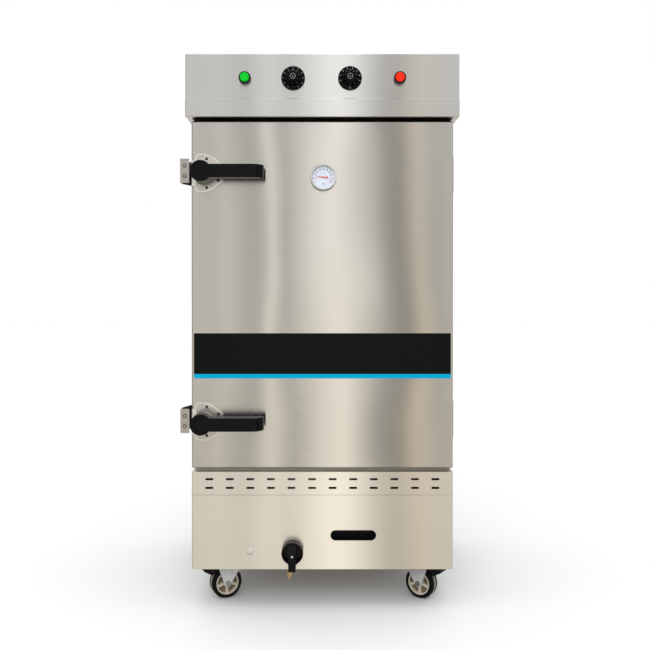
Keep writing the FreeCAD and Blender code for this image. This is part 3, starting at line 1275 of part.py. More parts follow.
def lever_profile(inset, near):
    """The lever seen from above: a straight bar that turns back towards the door at its far end."""
    far = LATCH_BOSS_T + LATCH_CAM_T + 2 * LATCH_CAM_GAP + LATCH_HANDLE_T - inset
    end = LEVER_REACH - inset
    bend = LEVER_END_BEND - inset
    inner_end = LEVER_REACH - LEVER_END_T + inset
    tip = far + inset - LEVER_RETURN
    turn = math.sqrt(0.5)
    arc_middle = vec(end - bend + bend * turn, -(far - bend + bend * turn), 0)
    line = Part.LineSegment
    edges = [line(vec(0, -near, 0), vec(0, -far, 0)).toShape(),
             line(vec(0, -far, 0), vec(end - bend, -far, 0)).toShape(),
             Part.Arc(vec(end - bend, -far, 0), arc_middle, vec(end, -(far - bend), 0)).toShape(),
             line(vec(end, -(far - bend), 0), vec(end, -tip, 0)).toShape(),
             line(vec(end, -tip, 0), vec(inner_end, -tip, 0)).toShape(),
             line(vec(inner_end, -tip, 0), vec(inner_end, -near, 0)).toShape(),
             line(vec(inner_end, -near, 0), vec(0, -near, 0)).toShape()]
    return Part.Face(Part.Wire(edges))


def latch_handle(lift):
    """The moulded lever with its round knob, and the steel shaft and cam disc behind it."""
    z = latch_z(lift)
    knob_back = LATCH_BOSS_T + LATCH_CAM_T + 2 * LATCH_CAM_GAP
    knob_front = knob_back + LATCH_HANDLE_T
    lever = lever_profile(0, knob_front - LEVER_T).extrude(vec(0, 0, LEVER_H))
    lever.translate(vec(0, 0, -LEVER_H / 2))
    tip_y = -(knob_front - LEVER_RETURN)
    bend_end = LEVER_REACH - LEVER_END_BEND / 2

    def outer_edge(middle):
        return (abs(abs(middle.z) - LEVER_H / 2) < 0.01 and middle.x > LATCH_KNOB_R and middle.y < tip_y - 1
                and (middle.y < -knob_front + 0.01 or middle.x > bend_end))

    lever = lever.makeFillet(LEVER_EDGE, [edge for edge in lever.Edges if outer_edge(edge.CenterOfMass)])
    back_y = -(knob_front - LEVER_T)
    hollow = box(LATCH_KNOB_R - LEVER_WALL, LEVER_REACH - LEVER_END_T - LEVER_WALL, back_y - LEVER_HOLLOW,
                 back_y + 1, -LEVER_H / 2 + LEVER_WALL, LEVER_H / 2 - LEVER_WALL)
    lever = lever.cut(hollow)
    lever.translate(vec(LATCH_X, FRONT, z))
    grip = outward(LATCH_X, z, LATCH_KNOB_R, knob_back, knob_front)
    face_y = FRONT - knob_front
    front_rim = [edge for edge in grip.Edges if abs(edge.CenterOfMass.y - face_y) < 0.01]
    grip = grip.makeFillet(LATCH_KNOB_EDGE, front_rim)
    ring = cut(outward(LATCH_X, z, LATCH_KNOB_RING_R, knob_front - LATCH_KNOB_RING_DEPTH, knob_front + 1),
               outward(LATCH_X, z, LATCH_KNOB_RING_R - LATCH_KNOB_RING_W, knob_front - 2, knob_front + 2))
    socket_depth = LATCH_HANDLE_T / 2
    socket = outward(LATCH_X, z, LATCH_SHAFT_R, knob_back - 1, knob_back + socket_depth)
    moulding = cut(fuse(grip, lever), ring, socket)
    shaft_back = LATCH_SHAFT_R - LATCH_SHAFT_DEPTH
    shaft = outward(LATCH_X, z, LATCH_SHAFT_R, shaft_back, knob_back + socket_depth)
    cam_back = LATCH_BOSS_T + LATCH_CAM_GAP
    cam = outward(LATCH_X, z, LATCH_CAM_R, cam_back, cam_back + LATCH_CAM_T)
    return [moulding, fuse(shaft, cam)]


def strip(points, thickness, z0, z1):
    """A bent strip seen from above: the points are one face, the other lies a thickness to the right."""
    offset = []
    count = len(points)
    for i, point in enumerate(points):
        normals = []
        for a, b in ((i - 1, i), (i, i + 1)):
            if 0 <= a and b < count:
                run = vec(points[b][0] - points[a][0], points[b][1] - points[a][1], 0).normalize()
                normals.append(vec(run.y, -run.x, 0))
        total = sum(normals, vec(0, 0, 0)).normalize()
        reach = thickness / total.dot(normals[0])
        offset.append((point[0] + total.x * reach, point[1] + total.y * reach))
    return plate_on_xy(list(points) + offset[::-1], z0, z1)


def strike_bracket(lift):
    """A bent bracket on the cabinet's side whose tab stands beside the door's front edge."""
    z = latch_z(lift) + STRIKE_RISE
    tab_right = -SIDE - STRIKE_GAP
    tab_left = tab_right - STRIKE_TAB_W
    tab_front = FRONT - STRIKE_LEAD
    web_back = tab_front + STRIKE_WEB
    wall_front = web_back + STRIKE_SLANT
    wall_x = -SIDE - STRIKE_T
    points = [(tab_right, tab_front), (tab_left, tab_front), (tab_left, web_back), (wall_x, wall_front),
              (wall_x, wall_front + STRIKE_FLANGE)]
    plate = strip(points, STRIKE_T, z - STRIKE_H / 2, z + STRIKE_H / 2)
    screw_x = (tab_left + tab_right) / 2
    screw_y = wall_front + STRIKE_FLANGE / 2
    solids = []
    holes = []
    for side in (-1, 1):
        sz = z + side * STRIKE_SCREW_PITCH / 2
        holes.append(rod_y(screw_x, sz, STRIKE_SHANK_R + SNUG, tab_front - 1, tab_front + STRIKE_T + 1))
        solids.append(round_head_bolt(screw_x, tab_front, sz))
        head = rod_x(screw_y, sz, STRIKE_HEAD_R, wall_x - STRIKE_HEAD_T, wall_x)
        head = head.makeFillet(STRIKE_RIVET_ROUND, [edge for edge in head.Edges
                                                      if edge.CenterOfMass.x < wall_x - STRIKE_HEAD_T + 0.01])
        solids.append(head)
    return [cut(plate, *holes)] + solids


def round_head_bolt(x, plane, z):
    head = rod_y(x, z, STRIKE_HEAD_R, plane - STRIKE_HEAD_T, plane)
    head = head.makeFillet(STRIKE_BOLT_ROUND, [edge for edge in head.Edges
                                                 if edge.CenterOfMass.y < plane - STRIKE_HEAD_T + 0.01])
    shank = rod_y(x, z, STRIKE_SHANK_R, plane, plane + STRIKE_T)
    nut = rod_y(x, z, STRIKE_HEAD_R, plane + STRIKE_T, plane + STRIKE_T + STRIKE_NUT_T)
    return fuse(head, shank, nut)


def strike_brackets():
    return [solid for lift in LATCH_LIFTS for solid in strike_bracket(lift)]


# Hinges: two outer knuckles on the cabinet, the middle one on the door


def hinge_spans(lift):
    middle = DOOR_BOTTOM + lift
    low, high = middle - HINGE_H / 2, middle + HINGE_H / 2
    m0, m1 = middle - HINGE_MIDDLE_H / 2, middle + HINGE_MIDDLE_H / 2
    return low, m0, m1, high


def hinge_leaf(sign, low, high, knuckles, others):
    """A plate on the cabinet's side with its knuckles; sign is +1 for the body's, -1 for the door's."""
    x0, x1 = SIDE, SIDE + HINGE_LEAF_T
    y_far = HINGE_Y + sign * HINGE_LEAF_W
    y_near = HINGE_Y + sign * KNUCKLE_REACH
    plate = box(x0, x1, min(y_near, y_far), max(y_near, y_far), low, high)
    solids = [plate]
    for z0, z1 in knuckles:
        solids.append(rod_z(HINGE_X, HINGE_Y, HINGE_KNUCKLE_R, z0, z1))
        web_far = y_near + sign * HINGE_WEB_LAP
        solids.append(box(SIDE + FIT, x1, min(HINGE_Y, web_far), max(HINGE_Y, web_far), z0, z1))
    leaf = fuse(*solids)
    gaps = [rod_z(HINGE_X, HINGE_Y, HINGE_KNUCKLE_R + FIT, z0, z1) for z0, z1 in others]
    middle = (low + high) / 2
    screws = [rod_x((y_near + y_far) / 2, z, HINGE_SCREW_R, x1, x1 + HINGE_SCREW_T)
              for z in (middle - HINGE_SCREW_PITCH, middle, middle + HINGE_SCREW_PITCH)]
    screws = [head.makeFillet(HINGE_SCREW_ROUND, [edge for edge in head.Edges
                                                  if edge.CenterOfMass.x > x1 + HINGE_SCREW_T - 0.01])
              for head in screws]
    return cut(leaf, *gaps), screws


def hinge_body_leaves():
    solids = []
    for lift in HINGE_LIFTS:
        low, m0, m1, high = hinge_spans(lift)
        leaf, screws = hinge_leaf(1, low, high, [(low, m0), (m1, high)], [(m0, m1)])
        bore = rod_z(HINGE_X, HINGE_Y, HINGE_PIN_R, low - 1, high + 1)
        solids.append(cut(leaf, bore))
        solids.append(rod_z(HINGE_X, HINGE_Y, HINGE_PIN_R, low, high))
        solids += screws
    return solids


def hinge_door_leaves():
    solids = []
    for lift in HINGE_LIFTS:
        low, m0, m1, high = hinge_spans(lift)
        inside = (m0 + HINGE_KNUCKLE_GAP, m1 - HINGE_KNUCKLE_GAP)
        leaf, screws = hinge_leaf(-1, low, high, [inside], [(low - 1, m0), (m1, high + 1)])
        bore = rod_z(HINGE_X, HINGE_Y, HINGE_PIN_R + RUNNING, low - 1, high + 1)
        solids.append(cut(leaf, bore))
        solids += screws
    return solids


# Casters, drawn at the origin with the wheel trailing along -X, then turned and set in place


def caster_centre(name):
    end, side = name.split("_")
    x = (-1 if side == "left" else 1) * (SIDE - CASTER_INSET_X) + CASTER_SHIFT_X
    y = (FRONT + CASTER_INSET_Y) if end == "front" else (BACK - CASTER_INSET_Y)
    return x, y


def place_caster(shape, name):
    x, y = caster_centre(name)
    shape.rotate(vec(0, 0, 0), vec(0, 0, 1), CASTER_HEADINGS_DEG[name])
    shape.translate(vec(x, y, 0))
    return shape


def swivel_bolt_places(name):
    x, y = caster_centre(name)
    return [(x + i * SWIVEL_BOLT_L / 2, y + j * SWIVEL_BOLT_W / 2) for i in (-1, 1) for j in (-1, 1)]


def swivel_plate(name):
    """The top plate with its bearing cup, kingpin and four bolts."""
    x, y = caster_centre(name)
    z0 = BASE_BOTTOM - SWIVEL_PLATE_T
    half_l, half_w = SWIVEL_PLATE_L / 2, SWIVEL_PLATE_W / 2
    plate = box(x - half_l, x + half_l, y - half_w, y + half_w, z0, BASE_BOTTOM)
    plate = round_edges(plate, SWIVEL_PLATE_CORNER, vec(0, 0, 1))
    cup = rod_z(x, y, SWIVEL_CUP_R, cup_top() + SWIVEL_GAP, z0)
    head_top = FORK_CROWN_Z - SWIVEL_GAP
    kingpin = fuse(rod_z(x, y, KINGPIN_R, head_top - KINGPIN_HEAD_T, BASE_BOTTOM),
                   rod_z(x, y, KINGPIN_HEAD_R, head_top - KINGPIN_HEAD_T, head_top))
    holes = [rod_z(bx, by, SWIVEL_BOLT_R + SNUG, z0 - 1, BASE_BOTTOM + 1)
             for bx, by in swivel_bolt_places(name)]
    holes.append(rod_z(x, y, KINGPIN_R, cup_top(), BASE_BOTTOM + 1))
    bolts = []
    for bx, by in swivel_bolt_places(name):
        nut_top = BASE_BOTTOM + SHEET + SWIVEL_BOLT_HEAD_T
        shank = rod_z(bx, by, SWIVEL_BOLT_R, z0, nut_top)
        lower = rod_z(bx, by, SWIVEL_BOLT_HEAD_R, z0 - SWIVEL_BOLT_HEAD_T / 2, z0)
        upper = rod_z(bx, by, SWIVEL_BOLT_HEAD_R, BASE_BOTTOM + SHEET, nut_top)
        bolts.append(fuse(shank, lower, upper))
    return [cut(fuse(plate, cup), *holes), kingpin] + bolts


def caster_plates():
    return [solid for name in CASTER_HEADINGS_DEG for solid in swivel_plate(name)]


def cup_top():
    return FORK_CROWN_Z + FORK_CROWN_T + SWIVEL_CUP_T


def fork_leg(sign):
    """A tapering leg from the crown to the axle, with a raised band down its middle."""
    near = FORK_GAP
    far = FORK_GAP + FORK_SHEET
    top = FORK_CROWN_Z + FORK_CROWN_T
    foot_z = AXLE_Z
    axle_x = -CASTER_TRAIL
    y0, y1 = sorted((sign * near, sign * far))
    leg = plate_on_xz([(-FORK_BACK, FORK_LOBE_Z), (-FORK_LOBE_FRONT, FORK_LOBE_Z), (-FORK_CROWN_BACK, top),
                       (FORK_LEG_FRONT, top), (FORK_LEG_FRONT, top - FORK_SHOULDER),
                       (axle_x + FORK_FOOT_R, foot_z), (axle_x - FORK_FOOT_R, foot_z),
                       (-FORK_BACK, top - FORK_SHOULDER)], y0, y1)
    foot = rod_y(axle_x, foot_z, FORK_FOOT_R, y0, y1)
    r0, r1 = sorted((sign * far, sign * (far + FORK_RIB_T)))
    wide, narrow = FORK_RIB_TOP_W / 2, FORK_RIB_FOOT_W / 2
    rib_top = top - FORK_RIB_DROP
    rib = plate_on_xz([(axle_x - wide, rib_top), (axle_x + wide, rib_top), (axle_x + narrow, foot_z),
                       (axle_x - narrow, foot_z)], r0, r1)
    rib_foot = rod_y(axle_x, foot_z, narrow, r0, r1)
    return fuse(leg, foot, rib, rib_foot)


def plate_on_xz(points, y0, y1):
    return prism([vec(x, y0, z) for x, z in points], vec(0, y1 - y0, 0))


def caster_fork(name):
    """The swivelling fork and its axle bolt."""
    half = FORK_GAP + FORK_SHEET
    top = FORK_CROWN_Z + FORK_CROWN_T
    crown = box(-FORK_CROWN_BACK, FORK_FRONT, -half, half, FORK_CROWN_Z, top)
    cup = rod_z(0, 0, SWIVEL_CUP_R, FORK_CROWN_Z, cup_top())
    body = fuse(crown, cup, fork_leg(1), fork_leg(-1))
    kingpin_hole = rod_z(0, 0, KINGPIN_R + RUNNING, FORK_CROWN_Z - 1, cup_top() + 1)
    axle_span = half + FORK_RIB_T
    axle_hole = rod_y(-CASTER_TRAIL, AXLE_Z, AXLE_R, -axle_span - 1, axle_span + 1)
    cutters = [kingpin_hole, axle_hole]
    if name.startswith("front"):
        cutters.append(rod_y(-PEDAL_PIVOT_X, PEDAL_PIVOT_Z, PEDAL_PIN_R + RUNNING, -half - 1, half + 1))
    body = cut(body, *cutters)
    axle = rod_y(-CASTER_TRAIL, AXLE_Z, AXLE_R, -axle_span, axle_span)
    heads = [rod_y(-CASTER_TRAIL, AXLE_Z, AXLE_HEAD_R, -axle_span - AXLE_HEAD_T, -axle_span),
             rod_y(-CASTER_TRAIL, AXLE_Z, AXLE_HEAD_R, axle_span, axle_span + AXLE_HEAD_T)]
    heads = [head.makeFillet(AXLE_HEAD_EDGE, [edge for edge in head.Edges
                                   if abs(edge.CenterOfMass.y) > axle_span + AXLE_HEAD_T - 0.01])
             for head in heads]
    bolt = fuse(axle, *heads)
    return [place_caster(body, name), place_caster(bolt, name)]


def revolve_wheel(points):
    """A ring of the wheel from its half section, given as radius and distance from the middle plane."""
    outline = [vec(-CASTER_TRAIL + r, y, AXLE_Z) for r, y in points]
    wire = Part.makePolygon(outline + [outline[0]])
    return Part.Face(wire).revolve(vec(-CASTER_TRAIL, 0, AXLE_Z), vec(0, 1, 0), 360)


def caster_wheel(name):
    """A spoked hub and the rubber tyre on it."""
    rim_r = WHEEL_R - TYRE_T
    half_tyre = TYRE_W / 2
    half_hub = HUB_W / 2
    tyre = revolve_wheel([(rim_r, -half_tyre), (WHEEL_R, -half_tyre), (WHEEL_R, half_tyre),
                          (rim_r, half_tyre)])
    tyre = tyre.makeFillet(TYRE_SHOULDER, [edge for edge in tyre.Edges
                                           if edge.Curve.TypeId == "Part::GeomCircle"
                                           and abs(edge.Curve.Radius - WHEEL_R) < 0.01])
    rim_half = half_tyre + HUB_RIM_LIP
    rim = revolve_wheel([(rim_r - HUB_RIM_T, -rim_half), (rim_r, -rim_half), (rim_r, rim_half),
                         (rim_r - HUB_RIM_T, rim_half)])
    web = revolve_wheel([(AXLE_R + RUNNING, -HUB_WEB_T / 2), (rim_r - HUB_RIM_T / 2, -HUB_WEB_T / 2),
                         (rim_r - HUB_RIM_T / 2, HUB_WEB_T / 2), (AXLE_R + RUNNING, HUB_WEB_T / 2)])
    core = revolve_wheel([(AXLE_R + RUNNING, -half_hub), (HUB_R, -half_hub), (HUB_R, half_hub),
                          (AXLE_R + RUNNING, half_hub)])
    spokes = []
    for i in range(HUB_SPOKES):
        spoke = box(-CASTER_TRAIL + HUB_R - 2, -CASTER_TRAIL + rim_r - HUB_RIM_T / 2, -HUB_SPOKE_T / 2,
                    HUB_SPOKE_T / 2, AXLE_Z - HUB_SPOKE_W / 2, AXLE_Z + HUB_SPOKE_W / 2)
        spoke.rotate(vec(-CASTER_TRAIL, 0, AXLE_Z), vec(0, 1, 0), HUB_FIRST_SPOKE_DEG + 360.0 * i / HUB_SPOKES)
        spokes.append(spoke)
    hub = fuse(web, rim, core, *spokes)
    return [place_caster(hub, name), place_caster(tyre, name)]


def brake_pedal(name):
    """A wedge-shaped pedal on a pin through the fork, whose heel presses on the tyre."""
    px, pz = -PEDAL_PIVOT_X, PEDAL_PIVOT_Z
    tip = -PEDAL_TIP_X
    half = PEDAL_HALF_W
    hub = rod_y(px, pz, PEDAL_HUB_R, -half, half)
    pin = rod_y(px, pz, PEDAL_PIN_R, -FORK_GAP - FORK_SHEET, FORK_GAP + FORK_SHEET)
    tread = plate_on_xz([(px, pz + PEDAL_HUB_R), (tip, pz), (tip, pz - PEDAL_TIP_DROP),
                         (-PEDAL_HEEL_X - PEDAL_HEEL_L, pz - PEDAL_HEEL_DROP),
                         (-PEDAL_HEEL_X, pz - PEDAL_HEEL_DROP), (-PEDAL_WEB_X, pz - PEDAL_WEB_DROP),
                         (px - 2 * PEDAL_HUB_R, pz - PEDAL_ROOT_DROP), (px, pz - PEDAL_HUB_R)], -half, half)
    return place_caster(fuse(hub, pin, tread), name)


# Every sub-part by name


def sub_parts():
    parts = {
        "side_panel_left": side_panel(-1),
        "side_panel_right": side_panel(1),
        "back_panel": back_panel(),
        "liner_wrap": liner_wrap(),
        "liner_top": liner_top(),
        "wall_insulation": wall_insulation(),
        "door_frame": door_frame(),
        "tray_rack_left": tray_rack(-1),
        "tray_rack_right": tray_rack(1),
        "steam_cover": steam_cover(),
        "water_tank": water_tank(),
        "heating_elements": [heating_element(x) for x in element_xs()],
        "terminal_box": terminal_box(),
        "float_box": float_box(),
        "water_inlet": water_inlet(),
        "float_arm": float_arm(),
        "vent_panel": vent_panel(),
        "base_front_panel": base_front_panel(),
        "base_floor": base_floor(),
        "hole_plug": hole_plug(),
        "cock_body": cock_body(),
        "cock_handle": cock_handle(),
        "strike_brackets": strike_brackets(),
        "hinge_body_leaves": hinge_body_leaves(),
        "hinge_door_leaves": hinge_door_leaves(),
        "caster_plates": caster_plates(),
        "header_deck": header_deck(),
        "header_casing": header_casing(),
        "control_panel": control_panel(),
        "header_brow": header_brow(),
        "lamp_bezels": [lamp_bezel(-LAMP_X), lamp_bezel(LAMP_X)],
        "running_lamp_lens": lamp_lens(-LAMP_X),
        "power_lamp_lens": lamp_lens(LAMP_X),
        "control_gear": control_gear(),
        "timer_knob": knob(TIMER_X),
        "thermostat_knob": knob(THERMOSTAT_X),
        "steam_vent": steam_vent(),
        "cable_gland": cable_gland(),
        "door_skin": door_skin(),
        "door_liner": door_liner(),
        "door_insulation": door_insulation(),
        "door_gasket": door_gasket(),
        "door_band": door_band(),
        "thermometer_case": thermometer_case(),
        "thermometer_dial": thermometer_dial(),
        "thermometer_glass": thermometer_glass(),
        "thermometer_needle": thermometer_needle(),
        "latch_bases": latch_bases(),
        "latch_handle_lower": latch_handle(LATCH_LIFTS[0]),
        "latch_handle_upper": latch_handle(LATCH_LIFTS[1]),
    }
    for name in CASTER_HEADINGS_DEG:
        parts["caster_fork_" + name] = caster_fork(name)
        parts["caster_wheel_" + name] = caster_wheel(name)
        if name.startswith("front"):
            parts["brake_pedal_" + name] = brake_pedal(name)
    return parts


def write_parts():
    os.makedirs("parts", exist_ok=True)
    for name, made in sub_parts().items():
        shape = Part.makeCompound(made) if isinstance(made, list) else made
        bad = [solid for solid in shape.Solids if not solid.isValid()]
        bounds = shape.BoundBox
        print("%-26s %2d solids  %s  x %.1f %.1f  y %.1f %.1f  z %.1f %.1f" % (
            name, len(shape.Solids), "invalid" if bad else "valid", bounds.XMin, bounds.XMax,
            bounds.YMin, bounds.YMax, bounds.ZMin, bounds.ZMax))
        shape.exportStep(os.path.join("parts", name + ".step"))


write_parts()
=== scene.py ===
import math

import bpy
from mathutils import Euler, Matrix, Vector


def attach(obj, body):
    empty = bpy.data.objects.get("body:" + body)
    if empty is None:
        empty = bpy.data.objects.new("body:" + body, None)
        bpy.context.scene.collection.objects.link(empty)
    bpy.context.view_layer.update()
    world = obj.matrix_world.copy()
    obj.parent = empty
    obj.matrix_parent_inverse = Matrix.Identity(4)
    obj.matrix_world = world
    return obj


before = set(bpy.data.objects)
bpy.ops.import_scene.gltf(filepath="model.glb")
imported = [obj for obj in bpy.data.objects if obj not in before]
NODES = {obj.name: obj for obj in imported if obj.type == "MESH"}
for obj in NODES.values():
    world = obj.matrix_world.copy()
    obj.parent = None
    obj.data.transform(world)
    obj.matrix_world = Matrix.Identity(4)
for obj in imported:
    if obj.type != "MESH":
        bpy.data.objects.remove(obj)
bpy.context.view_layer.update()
MM = 0.001

# Places that the looks share with the solids, in millimetres
FRONT = -300.0
BROW_FRONT = -324.0
BROW_Z = 1276.5
BAND_Z = 601.5
CONTROL_Z = 1375.5
TIMER_X = -75.0
THERMOSTAT_X = 71.0
SKIRT_Y = -326.2
GAUGE_X, GAUGE_Z = 2.8, 1123.0
DIAL_Y = -309.1
LATCH_X = -308.2
LATCH_LEVELS = (491.0, 1133.5)
LATCH_SCREWS = ((8.7, 37.0), (38.4, 18.5), (38.4, -18.5), (8.7, -37.0))
COCK_X, COCK_Z = -77.5, 152.3
RIVET_X = -353.0
RIVET_PITCH = 26.5
RIVET_RISE = 4.0
WHEEL_R = 41.5
CASTER_TRAIL = 22.0
CASTERS = {"front_left": (-242, -201, 25), "front_right": (250, -201, 146),
           "rear_left": (-242, 201, -20), "rear_right": (250, 201, 200)}

# Borders between two finishes on one solid, or between a finish and painted shade, in millimetres
STRIPE_H = 11.5
LEVER_BACK_Y = -330.3
SHAFT_END_X = -250.0
ELEMENT_NUT_FRONT = -238.9
ELEMENT_NUT_BACK = -232.7
RIVET_RING_IN, RIVET_RING_OUT = 3.2, 5.2
CASE_WALL_R = 33.2
BROW_SHEET = 0.8
BROW_LIP = 14.0
BROW_SHADE_X = 338.0
COCK_SCREW_R = 2.7
EYE_RING_IN, EYE_RING_OUT = 5.8, 7.2
EYE_DOT_R = 1.6
CAST_RIM_Y, CAST_FLOOR_Y = -306.2, -305.0
LATCH_SCREW_R = 4.5
HUB_R = 31.1
TREAD_LINE_HALF_W = 3.5
TREAD_LINE_R = 40.2
RECESS_HALF_W = 5.6
RECESS_IN, RECESS_OUT = 10.5, 29.5
AXLE_BOLT_R = 7.2
FORK_HALF_W = 21.4


class Tree:
    """A small helper for building the nodes of a material or of the world."""

    def __init__(self, owner):
        self.nodes = owner.node_tree.nodes
        self.links = owner.node_tree.links
        self.nodes.clear()

    def put(self, socket, value):
        """Link a socket to the value, or set it; a single number fills every channel."""
        if isinstance(value, bpy.types.NodeSocket):
            self.links.new(value, socket)
        elif value is not None:
            if hasattr(socket.default_value, "__len__") and not hasattr(value, "__len__"):
                value = [value] * len(socket.default_value)
            if hasattr(value, "__len__") and len(socket.default_value) == 4 and len(value) == 3:
                value = (*value, 1.0)
            socket.default_value = value

    def add(self, kind, inputs=None, **settings):
        made = self.nodes.new(kind)
        for key, value in settings.items():
            setattr(made, key, value)
        for key, value in (inputs or {}).items():
            self.put(made.inputs[key], value)
        return made

    def place(self, generated=False):
        node = self.add("ShaderNodeTexCoord")
        return node.outputs["Generated" if generated else "Object"]

    def axes(self, vector):
        return self.add("ShaderNodeSeparateXYZ", {0: vector}).outputs

    def math(self, operation, a, b=None, clamp=False):
        return self.add("ShaderNodeMath", {0: a, 1: b}, operation=operation, use_clamp=clamp).outputs[0]

    def vector(self, operation, a, b=None, out=0):
        return self.add("ShaderNodeVectorMath", {0: a, 1: b}, operation=operation).outputs[out]

    def below(self, value, limit):
        """1 where a length in metres is under a limit in millimetres."""
        return self.math("LESS_THAN", value, limit * MM)

    def above(self, value, limit):
        """1 where a length in metres is over a limit in millimetres."""
        return self.math("GREATER_THAN", value, limit * MM)

    def every(self, first, *others):
        for other in others:
            first = self.math("MULTIPLY", first, other)
        return first

    def any(self, first, *others):
        for other in others:
            first = self.math("MAXIMUM", first, other)
        return first

    def noise(self, stretch, detail=2.0, rough=0.5, offset=(0, 0, 0)):
        stretched = {"Vector": self.place(), "Scale": stretch, "Location": offset}
        where = self.add("ShaderNodeMapping", stretched).outputs[0]
        inputs = {"Vector": where, "Scale": 1.0, "Detail": detail, "Roughness": rough}
        return self.add("ShaderNodeTexNoise", inputs).outputs["Fac"]

    def remap(self, value, a, b, lo, hi):
        return self.add("ShaderNodeMapRange", {0: value, 1: a, 2: b, 3: lo, 4: hi}).outputs[0]

    def blend(self, factor, a, b, mode="MIX"):
        made = self.add("ShaderNodeMix", data_type="RGBA", blend_type=mode)
        self.put(made.inputs[0], factor)
        self.put(made.inputs[6], a)
        self.put(made.inputs[7], b)
        return made.outputs[2]

    def shade(self, colour, level):
        """A colour times one level for all three channels."""
        grey = self.add("ShaderNodeCombineXYZ", {0: level, 1: level, 2: level}).outputs[0]
        return self.blend(1.0, colour, grey, "MULTIPLY")

    def either(self, factor, a, b):
        """Shader a where the factor is 0, and shader b where it is 1."""
        return self.add("ShaderNodeMixShader", {0: factor, 1: a, 2: b}).outputs[0]

    def ramp(self, factor, stops, how="EASE"):
        made = self.add("ShaderNodeValToRGB", {0: factor})
        made.color_ramp.interpolation = how
        keys = made.color_ramp.elements
        for index, (position, colour) in enumerate(stops):
            key = keys[0] if index == 0 else keys[-1] if index == 1 else keys.new(position)
            key.position = position
            key.color = (*colour, 1.0) if hasattr(colour, "__len__") else (colour, colour, colour, 1.0)
        return made.outputs[0]

    def bump(self, height, strength, distance, normal=None):
        made = self.add("ShaderNodeBump", {"Height": height, "Strength": strength, "Distance": distance})
        if normal is not None:
            self.put(made.inputs["Normal"], normal)
        return made.outputs[0]


def material(name, build):
    made = bpy.data.materials.new(name)
    made.use_nodes = True
    tree = Tree(made)
    shader = build(tree)
    out = tree.add("ShaderNodeOutputMaterial")
    tree.links.new(shader, out.inputs["Surface"])
    return made


def principled(tree, **inputs):
    """A Principled shader; underscores in a name stand for spaces."""
    made = tree.add("ShaderNodeBsdfPrincipled")
    for key, value in inputs.items():
        tree.put(made.inputs[key.replace("_", " ")], value)
    return made.outputs[0]


def brushed(tint, dark, rough=(0.12, 0.15), wave=0.0006, turns=0.7):
    """Sheet steel with a level brushed grain.

    Its surface swells by wave metres, in the given number of turns for each metre of height."""
    def build(tree):
        fine = tree.noise((6.0, 6.0, 1800.0), 3.0, 0.6)
        long = tree.noise((2.0, 2.0, 500.0), offset=(3, 1, 7))
        streak = tree.math("ADD", tree.math("MULTIPLY", fine, 0.8), tree.math("MULTIPLY", long, 0.2))
        colour = tree.blend(tree.remap(streak, 0.35, 0.65, 0.0, 1.0), dark, tint)
        cloud = tree.noise((2.2, 2.2, 1.3), offset=(11, 4, 2))
        colour = tree.shade(colour, tree.remap(cloud, 0.3, 0.7, 0.95, 1.03))
        gloss = tree.remap(streak, 0.3, 0.7, rough[0], rough[1])
        swell = tree.noise((2.4, 2.4, turns), 1.0, 0.4, offset=(5, 9, 1))
        normal = tree.bump(tree.math("SUBTRACT", 1.0, swell), 1.0, wave)
        normal = tree.bump(streak, 0.1, 0.00003, normal)
        up = tree.add("ShaderNodeCombineXYZ", {0: 0.02, 1: 0.01, 2: 1.0}).outputs[0]
        return principled(tree, Base_Color=colour, Metallic=1.0, Roughness=gloss, Anisotropic=1.0,
                          Tangent=up, Normal=normal)
    return build


# How dark the spots of plain metal are, and how many times wider the wide ones are than the fine
SPOT_SHADE = 0.86
SPOT_SPREAD = 12


def metal(tint, rough=(0.25, 0.4), scale=120.0, grain=0.3, metallic=1.0):
    """Plain plated, cast or turned metal with a fine uneven finish."""
    def build(tree):
        fine = tree.noise(scale, 3.0, 0.6)
        wide = tree.noise(scale / SPOT_SPREAD, offset=(2, 5, 3))
        spots = tree.math("ADD", tree.math("MULTIPLY", fine, 0.5), tree.math("MULTIPLY", wide, 0.5))
        colour = tree.blend(tree.remap(spots, 0.35, 0.65, 0, 1), [c * SPOT_SHADE for c in tint], tint)
        gloss = tree.remap(spots, 0.3, 0.7, rough[0], rough[1])
        return principled(tree, Base_Color=colour, Metallic=metallic, Roughness=gloss,
                          Normal=tree.bump(fine, grain, 0.00005))
    return build


def plastic(tint, worn, rough=(0.32, 0.45), grain=0.25, scale=900.0, specular=0.5):
    """Moulded plastic, rubber or ink with a fine texture."""
    def build(tree):
        spots = tree.noise(90.0, 3.0, 0.6)
        colour = tree.blend(tree.remap(spots, 0.35, 0.65, 0, 1), tint, worn)
        wear = tree.noise(14.0, 3.0, 0.6, offset=(1, 2, 3))
        gloss = tree.remap(wear, 0.3, 0.7, rough[0], rough[1])
        return principled(tree, Base_Color=colour, Roughness=gloss, Specular_IOR_Level=specular,
                          Normal=tree.bump(tree.noise(scale), grain, 0.00006))
    return build


def split(mask, first, second):
    """Two finishes on one solid, or a finish and painted shade: mask(tree) is 0 for the first and 1 for the
    second.
    """
    def build(tree):
        return tree.either(mask(tree), first(tree), second(tree))
    return build


def axial(tree, centre, axis=(0, 1, 0)):
    """Distance along an axis and from it, in metres, for the point being shaded."""
    rel = tree.vector("SUBTRACT", tree.place(), tuple(c * MM for c in centre))
    along = tree.vector("DOT_PRODUCT", rel, tuple(axis), out=1)
    whole = tree.vector("LENGTH", rel, out=1)
    square = tree.math("SUBTRACT", tree.math("MULTIPLY", whole, whole), tree.math("MULTIPLY", along, along))
    return along, tree.math("SQRT", tree.math("MAXIMUM", square, 0.0))


def from_axis(tree, x, z):
    """Distance in metres from a line that runs straight back through (x, z)."""
    return axial(tree, (x, FRONT, z))[1]


def give(made, *names):
    for name in names:
        data = NODES[name].data
        data.materials.clear()
        data.materials.append(made)


# Steel sheet

